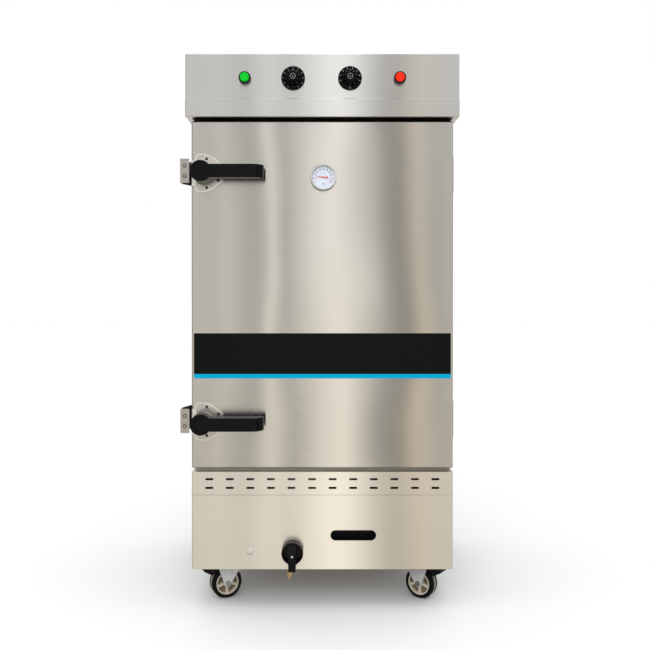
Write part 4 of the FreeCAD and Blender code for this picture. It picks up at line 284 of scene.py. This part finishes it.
HEADER_LOOK = brushed((0.80, 0.795, 0.78), (0.76, 0.755, 0.74), (0.17, 0.21))
# The brow's underside over the door is painted near black: painted shade of the gap above the door.
BROW_SHADE = plastic((0.006, 0.006, 0.006), (0.01, 0.01, 0.01), (0.5, 0.6), specular=0.1)


def brow_mask(tree):
    """1 on the underside of the brow over the door, painted near black as painted shade."""
    x, y, z = tree.axes(tree.place())
    under = tree.below(z, BROW_Z + BROW_SHEET)
    behind_lip = tree.above(y, BROW_FRONT + BROW_LIP)
    return tree.every(under, behind_lip, tree.below(tree.math("ABSOLUTE", x), BROW_SHADE_X))


def dress_sheets():
    door = brushed((0.70, 0.685, 0.645), (0.66, 0.645, 0.605), wave=0.0035, turns=2.2)
    give(material("door_steel", door), "door_skin", "door_liner")
    body = brushed((0.97, 0.93, 0.85), (0.93, 0.89, 0.81), (0.19, 0.23))
    give(material("body_steel", body), "side_panel_left", "side_panel_right", "back_panel", "vent_panel",
         "base_front_panel")
    give(material("header_steel", HEADER_LOOK), "header_deck", "header_casing", "control_panel")
    give(material("brow_painted_shade", split(brow_mask, HEADER_LOOK, BROW_SHADE)), "header_brow")
    liner = brushed((0.64, 0.63, 0.61), (0.58, 0.57, 0.55), (0.25, 0.35))
    give(material("liner_steel", liner), "liner_wrap", "liner_top", "door_frame", "tray_rack_left",
         "tray_rack_right", "steam_cover", "water_tank", "steam_vent", "base_floor")


# Small metal pieces

STRIKE_PLATE = metal((0.66, 0.63, 0.58), (0.22, 0.34), 160.0, 0.2)
# A dark ring round each rivet head: partly dirt, partly painted contact shadow.
STRIKE_DIRT_AND_SHADOW = metal((0.10, 0.095, 0.09), (0.3, 0.4))
CASE_FACE = metal((0.90, 0.90, 0.89), (0.12, 0.2), 200.0, 0.1)
# The case's side wall is painted dark: painted shadow round the case on the door.
CASE_WALL_SHADOW = metal((0.16, 0.15, 0.14), (0.25, 0.35), 200.0, 0.1)
ELEMENT_TUBE = metal((0.45, 0.43, 0.42))
ELEMENT_NUT = metal((0.70, 0.50, 0.24))


def strike_mask(tree):
    """1 in the dark ring round each rivet head of the two strike brackets, painted contact shadow and dirt.
    """
    dark_rings = []
    for level in LATCH_LEVELS:
        for side in (-1, 1):
            radius = from_axis(tree, RIVET_X, level + RIVET_RISE + side * RIVET_PITCH / 2)
            dark_rings.append(tree.every(tree.above(radius, RIVET_RING_IN), tree.below(radius, RIVET_RING_OUT)))
    return tree.any(*dark_rings)


def case_mask(tree):
    """1 on the thermometer's side wall, painted dark as painted shadow where the case stands on the door.
    """
    return tree.above(from_axis(tree, GAUGE_X, GAUGE_Z), CASE_WALL_R)


def element_mask(tree):
    """1 on the brass nuts of the heating elements."""
    y = tree.axes(tree.place())[1]
    return tree.every(tree.above(y, ELEMENT_NUT_FRONT), tree.below(y, ELEMENT_NUT_BACK))


def cast_build(tree):
    """Plated casting: bright rim and pads, a sunk floor painted darker as painted shade in the recess, and
    dark screw heads.
    """
    y = tree.axes(tree.place())[1]
    # The sunk floor is painted darker than the rim: painted shade in the recess.
    sunk = tree.remap(y, CAST_RIM_Y * MM, CAST_FLOOR_Y * MM, 0.0, 1.0)
    screws = tree.any(*[tree.below(from_axis(tree, LATCH_X + dx, level + dz), LATCH_SCREW_R)
                        for level in LATCH_LEVELS for dx, dz in LATCH_SCREWS])
    stain = tree.noise(14.0, offset=(2, 5, 3))
    bright = tree.blend(stain, (0.86, 0.83, 0.77), (0.98, 0.95, 0.89))
    shaded_floor = tree.blend(stain, (0.64, 0.61, 0.56), (0.82, 0.79, 0.73))
    colour = tree.blend(sunk, bright, shaded_floor)
    colour = tree.blend(screws, colour, (0.12, 0.115, 0.11))
    gloss = tree.remap(tree.noise(40.0, 1.0), 0.3, 0.7, 0.16, 0.22)
    swell = tree.noise(13.0, 1.0, 0.4, offset=(4, 1, 6))
    return principled(tree, Base_Color=colour, Metallic=0.75, Roughness=gloss,
                      Normal=tree.bump(swell, 0.8, 0.0025))


def dress_small_metal():
    zinc = metal((0.60, 0.62, 0.63), (0.30, 0.42), 300.0, 0.2, metallic=0.35)
    give(material("zinc", zinc), "caster_plates")
    polished = metal((0.88, 0.87, 0.84), (0.16, 0.26), 200.0, 0.1)
    give(material("polished", polished), "hinge_body_leaves", "hinge_door_leaves")
    give(material("case_face_and_painted_shadow", split(case_mask, CASE_FACE, CASE_WALL_SHADOW)), "thermometer_case")
    give(material("strike_dirt_and_shadow", split(strike_mask, STRIKE_PLATE, STRIKE_DIRT_AND_SHADOW)), "strike_brackets")
    give(material("cast", cast_build), "latch_bases")
    brass = metal((0.72, 0.50, 0.22), (0.22, 0.36), 180.0, 0.25)
    give(material("brass", brass), "cock_body", "water_inlet", "float_arm")
    give(material("element_finish", split(element_mask, ELEMENT_TUBE, ELEMENT_NUT)), "heating_elements")


# Plastic, rubber, wool and film

LEVER_BLACK = plastic((0.0012, 0.0014, 0.0018), (0.0022, 0.0026, 0.0034), (0.26, 0.34), specular=0.17)
KNOB_BLACK = plastic((0.0008, 0.0009, 0.001), (0.0015, 0.0017, 0.002), (0.12, 0.2), 0.1, specular=0.13)
KNOB_EYE = plastic((0.30, 0.31, 0.33), (0.24, 0.25, 0.27), (0.25, 0.35))


def handle_mask(tree):
    """1 on the steel shaft and cam behind a latch lever."""
    x, y, _ = tree.axes(tree.place())
    return tree.every(tree.above(y, LEVER_BACK_Y), tree.below(x, SHAFT_END_X))


def cock_mask(tree):
    """1 on the bright screw in the middle of the cock's handle."""
    return tree.below(from_axis(tree, COCK_X, COCK_Z), COCK_SCREW_R)


def knob_finish(name, x):
    """Black knob with a bright ring and dot in its eye."""
    def mask(tree):
        radius = from_axis(tree, x, CONTROL_Z)
        ring = tree.every(tree.above(radius, EYE_RING_IN), tree.below(radius, EYE_RING_OUT))
        return tree.any(ring, tree.below(radius, EYE_DOT_R))
    return material(name, split(mask, KNOB_BLACK, KNOB_EYE))


def band_build(tree):
    """Printed film: black, with a cyan stripe along its lower edge."""
    stripe = tree.below(tree.axes(tree.place())[2], BAND_Z + STRIPE_H)
    colour = tree.blend(stripe, (0.0025, 0.004, 0.004), (0.0, 0.385, 0.64))
    dust = tree.noise(60.0, 3.0, 0.6)
    return principled(tree, Base_Color=colour, Roughness=tree.remap(dust, 0.3, 0.7, 0.22, 0.34),
                      Specular_IOR_Level=0.12, Normal=tree.bump(tree.noise((5.0, 5.0, 9.0)), 0.2, 0.0005))


LENS_GAIN = 1.3
LENS_LIFT = 0.01


def lens_build(tint, glow):
    """A coloured lamp lens that glows a little."""
    lighter = [min(1.0, c * LENS_GAIN + LENS_LIFT) for c in tint]

    def build(tree):
        cloud = tree.noise(120.0)
        colour = tree.blend(cloud, tint, lighter)
        return principled(tree, Base_Color=colour, Roughness=tree.remap(cloud, 0.3, 0.7, 0.16, 0.26),
                          Specular_IOR_Level=0.08, Emission_Color=(*glow, 1.0), Emission_Strength=0.3)
    return build


def glass_build(tree):
    smear = tree.noise(30.0)
    return principled(tree, Base_Color=(0.97, 0.98, 1.0), Roughness=tree.remap(smear, 0.3, 0.7, 0.0, 0.03),
                      Transmission_Weight=1.0, IOR=1.2, Alpha=0.25)


def dress_plastic():
    black = plastic((0.004, 0.0045, 0.005), (0.007, 0.008, 0.009), (0.30, 0.42), specular=0.15)
    # The terminal box is black as painted shade seen through the oval slot; the other pieces here are black
    # of their own.
    give(material("black", black), "brake_pedal_front_left", "brake_pedal_front_right", "lamp_bezels",
         "cable_gland", "control_gear", "terminal_box")
    give(knob_finish("timer_finish", TIMER_X), "timer_knob")
    give(knob_finish("thermostat_finish", THERMOSTAT_X), "thermostat_knob")
    grey = plastic((0.42, 0.43, 0.44), (0.36, 0.37, 0.38))
    give(material("grey_plastic", grey), "float_box")
    plug = plastic((0.62, 0.59, 0.52), (0.56, 0.53, 0.47), (0.2, 0.3))
    give(material("plug_grey", plug), "hole_plug")
    rubber = plastic((0.36, 0.35, 0.34), (0.30, 0.29, 0.28), (0.5, 0.65))
    give(material("rubber_grey", rubber), "door_gasket")
    wool = plastic((0.66, 0.60, 0.42), (0.52, 0.46, 0.30), (0.85, 0.95), 0.8, 300.0)
    give(material("wool", wool), "wall_insulation", "door_insulation")
    give(material("band_film", band_build), "door_band")
    green = lens_build((0.0, 0.34, 0.012), (0.0, 0.60, 0.03))
    give(material("green_lens", green), "running_lamp_lens")
    red = lens_build((0.72, 0.012, 0.002), (1.0, 0.05, 0.01))
    give(material("red_lens", red), "power_lamp_lens")
    give(material("gauge_glass", glass_build), "thermometer_glass")
    dial = plastic((0.80, 0.86, 0.96), (0.77, 0.83, 0.94), (0.35, 0.45))
    give(material("dial_white", dial), "thermometer_dial")
    needle = plastic((0.80, 0.004, 0.004), (0.72, 0.004, 0.004), (0.25, 0.35), specular=0.2)
    give(material("needle_red", needle), "thermometer_needle")
    lever = split(handle_mask, LEVER_BLACK, metal((0.6, 0.6, 0.58)))
    give(material("lever_finish", lever), "latch_handle_upper", "latch_handle_lower")
    cock = split(cock_mask, LEVER_BLACK, metal((0.9, 0.9, 0.88), (0.15, 0.2)))
    give(material("cock_finish", cock), "cock_handle")


# Casters

FORK_PLATE = metal((0.76, 0.78, 0.79), (0.26, 0.36), 300.0, 0.2, metallic=0.3)
AXLE_BOLT = metal((0.34, 0.34, 0.34), (0.2, 0.3), 200.0, 0.2, metallic=0.7)


def wheel_axis(x, y, heading):
    """The wheel's centre and the direction of its axle."""
    turn = math.radians(heading)
    centre = (x - CASTER_TRAIL * math.cos(turn), y - CASTER_TRAIL * math.sin(turn), WHEEL_R)
    return centre, (-math.sin(turn), math.cos(turn), 0.0)


def wheel_finish(name, spot):
    """Cream hub with its recesses painted darker as painted shade, black tyre and the cream line round its
    tread.
    """
    def build(tree):
        along, radius = axial(tree, *wheel_axis(*spot))
        off_middle = tree.math("ABSOLUTE", along)
        line = tree.every(tree.below(off_middle, TREAD_LINE_HALF_W), tree.above(radius, TREAD_LINE_R))
        pale = tree.any(tree.below(radius, HUB_R), line)
        recess = tree.every(tree.below(off_middle, RECESS_HALF_W), tree.above(radius, RECESS_IN),
                            tree.below(radius, RECESS_OUT))
        scuff = tree.noise(70.0, 3.0, 0.6)
        cream = tree.blend(tree.remap(scuff, 0.35, 0.65, 0, 1), (0.60, 0.55, 0.45), (0.72, 0.66, 0.55))
        # The hub's recesses are painted dark brown: painted shade.
        cream = tree.blend(recess, cream, (0.20, 0.16, 0.10))
        cream = tree.blend(line, cream, (0.42, 0.38, 0.31))
        worn = tree.remap(scuff, 0.4, 0.7, 0, 1)
        rubber = tree.blend(worn, (0.002, 0.002, 0.002), (0.008, 0.0075, 0.0065))
        return principled(tree, Base_Color=tree.blend(pale, rubber, cream), Specular_IOR_Level=0.12,
                          Roughness=tree.remap(scuff, 0.3, 0.7, 0.32, 0.5),
                          Normal=tree.bump(tree.noise(500.0), 0.2, 0.00008))
    return material("wheel_" + name, build)


def fork_finish(name, spot):
    """Zinc plate with a darker axle bolt."""
    def mask(tree):
        along, radius = axial(tree, *wheel_axis(*spot))
        outside = tree.above(tree.math("ABSOLUTE", along), FORK_HALF_W)
        return tree.every(tree.below(radius, AXLE_BOLT_R), outside)
    return material("fork_" + name, split(mask, FORK_PLATE, AXLE_BOLT))


def dress_casters():
    for name, spot in CASTERS.items():
        give(wheel_finish(name, spot), "caster_wheel_" + name)
        give(fork_finish(name, spot), "caster_fork_" + name)


# Marks and figures

TICK_FACES = ((4, 5, 6, 7), (3, 2, 1, 0), (0, 1, 5, 4), (1, 2, 6, 5), (2, 3, 7, 6), (3, 0, 4, 7))
SKIRT_CONE = 0.118
KNOB_TICK_T = 0.15
KNOB_TICK_OUT = 27.4
TIMER_DEGREES = range(-150, 151, 30)
TIMER_TICK_IN, TIMER_TICK_W = 24.6, 0.8
THERMOSTAT_DEGREES = range(-105, 106, 30)
THERMOSTAT_TICK_IN, THERMOSTAT_TICK_W = 23.8, 1.1
LOWEST_TICK_IN, LOWEST_TICK_W = 23.0, 1.2
DIAL_TICK_T = 0.12
DIAL_TICK_OUT = 28.4
LONG_TICK_IN, LONG_TICK_W = 25.2, 0.9
SHORT_TICK_IN, SHORT_TICK_W = 26.4, 0.55
FIGURE_T = 0.1
TEXT_SIZE_FOR_HEIGHT = 1.38
TEXT_BOLDNESS = 0.02
SCALE_START = -120
SCALE_STEP = 24
SCALE_VALUE_STEP = 20
FIGURE_R, FIGURE_H = 20.8, 3.3
UNIT_R, UNIT_H = 17.5, 4.8
MIDDLE_STEPS = range(2, 9)
END_STEPS = (0, 1, 9, 10)


def add_mesh(name, points, faces, made, body):
    data = bpy.data.meshes.new(name)
    data.from_pydata([tuple(c * MM for c in p) for p in points], [], faces)
    data.update()
    made_object = bpy.data.objects.new(name, data)
    data.materials.append(made)
    bpy.context.scene.collection.objects.link(made_object)
    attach(made_object, body)


def ticks(name, centre, y, marks, made, body, depth, cone=0.0):
    """Thin raised marks round a dial: each is (degrees clockwise from the top, inner r, outer r, width).

    The dial's face rises by cone millimetres for each millimetre inside the marks' outer ends."""
    points, faces = [], []
    for degrees, inner, outer, width in marks:
        a = math.radians(degrees)
        out = Vector((math.sin(a), 0, math.cos(a)))
        side = Vector((math.cos(a), 0, -math.sin(a))) * (width / 2)
        corners = [out * inner - side, out * inner + side, out * outer + side, out * outer - side]
        rise = [(outer - inner) * cone, (outer - inner) * cone, 0.0, 0.0]
        start = len(points)
        for level in (y, y - depth):
            points += [(centre[0] + c.x, level - r, centre[1] + c.z) for c, r in zip(corners, rise)]
        faces += [[start + i for i in face] for face in TICK_FACES]
    add_mesh(name, points, faces, made, body)


def figure_mesh(name, centre, y, text, degrees, radius, height, turn):
    """A short text as a mesh, standing on a dial's face."""
    curve = bpy.data.curves.new(name, "FONT")
    curve.body = text
    curve.size = height * MM * TEXT_SIZE_FOR_HEIGHT
    curve.align_x = "CENTER"
    curve.align_y = "CENTER"
    curve.extrude = FIGURE_T * MM / 2
    curve.offset = height * MM * TEXT_BOLDNESS
    curve.resolution_u = 3
    temp = bpy.data.objects.new(name, curve)
    bpy.context.scene.collection.objects.link(temp)
    bpy.context.view_layer.update()
    data = bpy.data.meshes.new_from_object(temp)
    a = math.radians(degrees)
    place = Vector(((centre[0] + radius * math.sin(a)) * MM, (y - FIGURE_T / 2) * MM,
                    (centre[1] + radius * math.cos(a)) * MM))
    spin = Matrix.Rotation(math.radians(turn), 4, "Y") @ Matrix.Rotation(math.pi / 2, 4, "X")
    data.transform(Matrix.Translation(place) @ spin)
    bpy.data.objects.remove(temp)
    return data


def labels(name, centre, y, words, made, body):
    """Flat figures round a dial: each is (text, degrees clockwise from the top, radius, height, turn)."""
    points, faces = [], []
    for word in words:
        data = figure_mesh(name, centre, y, *word)
        start = len(points)
        points += [tuple(v.co / MM) for v in data.vertices]
        faces += [[start + i for i in polygon.vertices] for polygon in data.polygons]
    add_mesh(name, points, faces, made, body)


def knob_marks():
    ink = material("knob_ink", plastic((0.58, 0.59, 0.61), (0.50, 0.51, 0.53), (0.4, 0.5), specular=0.2))
    timer = [(d, TIMER_TICK_IN, KNOB_TICK_OUT, TIMER_TICK_W) for d in TIMER_DEGREES]
    ticks("timer_marks", (TIMER_X, CONTROL_Z), SKIRT_Y, timer, ink, "timer",
          KNOB_TICK_T, SKIRT_CONE)
    thermostat = [(d, THERMOSTAT_TICK_IN, KNOB_TICK_OUT, THERMOSTAT_TICK_W) for d in THERMOSTAT_DEGREES]
    thermostat.append((180, LOWEST_TICK_IN, KNOB_TICK_OUT, LOWEST_TICK_W))
    ticks("thermostat_marks", (THERMOSTAT_X, CONTROL_Z), SKIRT_Y, thermostat, ink, "thermostat",
          KNOB_TICK_T, SKIRT_CONE)


def scale_ticks():
    """A long tick at each figure and two short ones between."""
    found = []
    for degrees in range(SCALE_START, 1 - SCALE_START, SCALE_STEP // 3):
        if (degrees - SCALE_START) % SCALE_STEP:
            found.append((degrees, SHORT_TICK_IN, DIAL_TICK_OUT, SHORT_TICK_W))
        else:
            found.append((degrees, LONG_TICK_IN, DIAL_TICK_OUT, LONG_TICK_W))
    return found


def scale_figures(steps):
    """The figures at these steps of the scale, each turned to stand on its radius."""
    found = []
    for step in steps:
        degrees = SCALE_START + SCALE_STEP * step
        found.append((str(SCALE_VALUE_STEP * step), degrees, FIGURE_R, FIGURE_H, degrees))
    return found


def gauge_marks():
    black_tint = (0.006, 0.006, 0.007), (0.01, 0.01, 0.01)
    red_tint = (0.62, 0.01, 0.01), (0.55, 0.01, 0.01)
    black = material("black_ink", plastic(*black_tint, (0.4, 0.5), specular=0.2))
    red = material("red_ink", plastic(*red_tint, (0.4, 0.5), specular=0.2))
    centre = (GAUGE_X, GAUGE_Z)
    unit = [("°C", 180, UNIT_R, UNIT_H, 0)]
    ticks("gauge_scale", centre, DIAL_Y, scale_ticks(), black, "door", DIAL_TICK_T)
    labels("gauge_figures", centre, DIAL_Y, scale_figures(MIDDLE_STEPS), black, "door")
    labels("gauge_figures_red", centre, DIAL_Y, scale_figures(END_STEPS), red, "door")
    labels("gauge_unit", centre, DIAL_Y, unit, black, "door")


# Studio

FLOOR_HALF = 14.0
SHADOW_REACH = 0.3
NEAR_DEGREES = 12.0
CAMERA_PLACE = (0, -2.4876, 0.858)
CAMERA_TILT = math.radians(90) - 0.0074

# Light and dark strips that flat steel mirrors to the camera: (degrees off straight ahead, level)
NEAR_STRIPS = [(-12, 0.55), (-8.7, 0.72), (-8.0, 0.62), (-7.0, 0.80), (-5.9, 0.62), (-4.7, 0.50),
               (-4.2, 0.62), (-3.7, 1.25), (-3.2, 0.85), (-2.6, 0.50), (-1.2, 0.80), (0.2, 1.05),
               (1.4, 1.25), (2.6, 0.85), (4.0, 0.44), (5.0, 0.33), (5.5, (0.47, 0.45, 0.42)),
               (6.0, (0.88, 0.77, 0.65)), (6.5, (0.78, 0.745, 0.70)), (7.8, 0.55), (8.4, 0.66), (12, 0.6)]

# What folds, round pieces and other views mirror, all the way round: (degrees of turn, level)
WIDE_STRIPS = [(-180, 0.8), (-160, 0.5), (-106, 0.45), (-98, 0.9), (-84, 0.9), (-76, 0.15), (-62, 0.15),
               (-52, 0.45), (-24, 0.5), (-14, 0.58), (14, 0.62), (26, 0.8), (36, 1.0), (50, 0.6),
               (60, 0.12), (76, 0.12), (84, 0.9), (98, 0.9), (106, 0.45), (160, 0.5), (180, 0.8)]

# Tint of the mirrored room from straight down (0) to straight up (1)
ROOM_TINTS = [(0.0, (0.62, 0.58, 0.52)), (0.35, (0.98, 0.93, 0.83)), (0.47, (1.0, 0.955, 0.87)),
              (0.53, (1.0, 0.98, 0.94)), (0.62, (1.0, 1.0, 1.0)), (0.8, (1.15, 1.15, 1.15)),
              (1.0, (1.5, 1.5, 1.5))]

# Soft light from straight down (0) to straight up (1)
DOME_LEVELS = [(0.0, 0.1), (0.5, 0.35), (0.66, 0.6), (0.85, 1.6), (1.0, 2.0)]


def floor_build(tree):
    """Pale matt floor, clear to mirrored rays, so that steel mirrors only the room; its colour is painted a
    little darker near the object as painted shade.
    """
    path = tree.add("ShaderNodeLightPath").outputs
    tint = tree.blend(tree.noise(0.4), (0.352, 0.353, 0.357), (0.362, 0.363, 0.367))
    # Ambient occlusion darkens the floor's colour near the object: painted shade.
    openness = tree.add("ShaderNodeAmbientOcclusion", {"Distance": SHADOW_REACH}, samples=16).outputs["AO"]
    tint = tree.shade(tint, tree.remap(openness, 0.3, 0.95, 0.98, 1.0))
    matt = tree.add("ShaderNodeBsdfDiffuse", {"Color": tint}).outputs[0]
    doubled = tree.add("ShaderNodeAddShader", {0: matt, 1: matt}).outputs[0]
    clear = tree.add("ShaderNodeBsdfTransparent").outputs[0]
    plain = tree.either(path["Is Camera Ray"], matt, doubled)
    return tree.either(path["Is Glossy Ray"], plain, clear)


def add_floor():
    half = FLOOR_HALF
    corners = [(-half, -half, 0), (half, -half, 0), (half, half, 0), (-half, half, 0)]
    data = bpy.data.meshes.new("floor")
    data.from_pydata(corners, [], [(0, 1, 2, 3)])
    data.materials.append(material("floor", floor_build))
    floor = bpy.data.objects.new("floor", data)
    bpy.context.scene.collection.objects.link(floor)


def degree_ramp(tree, degrees, reach, strips):
    """A ramp over the angles from -reach to reach."""
    share = tree.math("DIVIDE", tree.math("ADD", degrees, reach), 2 * reach, clamp=True)
    return tree.ramp(share, [((d + reach) / (2 * reach), level) for d, level in strips])


def mirrored_room(tree, x, y, tall):
    turn = tree.math("MULTIPLY", tree.math("ARCTAN2", x, tree.math("MULTIPLY", y, -1.0)), 180 / math.pi)
    slant = tree.math("MULTIPLY", tree.math("ARCSINE", x), 180 / math.pi)
    near = degree_ramp(tree, slant, NEAR_DEGREES, NEAR_STRIPS)
    far = degree_ramp(tree, turn, 180.0, WIDE_STRIPS)
    inside = tree.math("LESS_THAN", tree.math("ABSOLUTE", slant), NEAR_DEGREES)
    strips = tree.blend(inside, far, near)
    return tree.blend(1.0, strips, tree.ramp(tall, ROOM_TINTS, "LINEAR"), "MULTIPLY")


def add_world():
    """White to the camera, a soft dome to matt surfaces, and strips of light to metal."""
    world = bpy.data.worlds.new("studio")
    bpy.context.scene.world = world
    world.use_nodes = True
    tree = Tree(world)

    def light(colour):
        return tree.add("ShaderNodeBackground", {"Color": colour, "Strength": 1.0}).outputs[0]
    x, y, z = tree.axes(tree.place(generated=True))
    tall = tree.remap(z, -1.0, 1.0, 0.0, 1.0)
    path = tree.add("ShaderNodeLightPath").outputs
    mirrored = light(mirrored_room(tree, x, y, tall))
    soft = light(tree.ramp(tall, DOME_LEVELS, "LINEAR"))
    room = tree.either(path["Is Diffuse Ray"], mirrored, soft)
    seen = tree.either(path["Is Camera Ray"], room, light((1, 1, 1)))
    out = tree.add("ShaderNodeOutputWorld")
    tree.links.new(seen, out.inputs["Surface"])


def add_lamp(name, place, target, size, watts):
    data = bpy.data.lights.new(name, "AREA")
    data.shape = "RECTANGLE"
    data.size, data.size_y = size
    data.energy = watts
    made = bpy.data.objects.new(name, data)
    made.location = place
    made.rotation_mode = "QUATERNION"
    made.rotation_quaternion = (Vector(target) - Vector(place)).to_track_quat("-Z", "Y")
    made.visible_glossy = False
    bpy.context.scene.collection.objects.link(made)


def add_camera():
    """Level with the door's middle and a little over two metres in front of it."""
    data = bpy.data.cameras.new("camera")
    data.sensor_width = 36.0
    data.lens = 46.63
    data.shift_x = 0.0041
    data.shift_y = -0.06
    data.clip_end = 60
    made = bpy.data.objects.new("camera", data)
    made.location = CAMERA_PLACE
    made.rotation_euler = Euler((CAMERA_TILT, 0, 0))
    bpy.context.scene.collection.objects.link(made)
    bpy.context.scene.camera = made


dress_sheets()
dress_small_metal()
dress_plastic()
dress_casters()
knob_marks()
gauge_marks()
add_floor()
add_world()
add_lamp("key", place=(-0.3, -4.2, 2.4), target=(0, 0, 0.7), size=(2.6, 1.8), watts=70)
add_camera()
bpy.context.scene.view_settings.view_transform = "Standard"
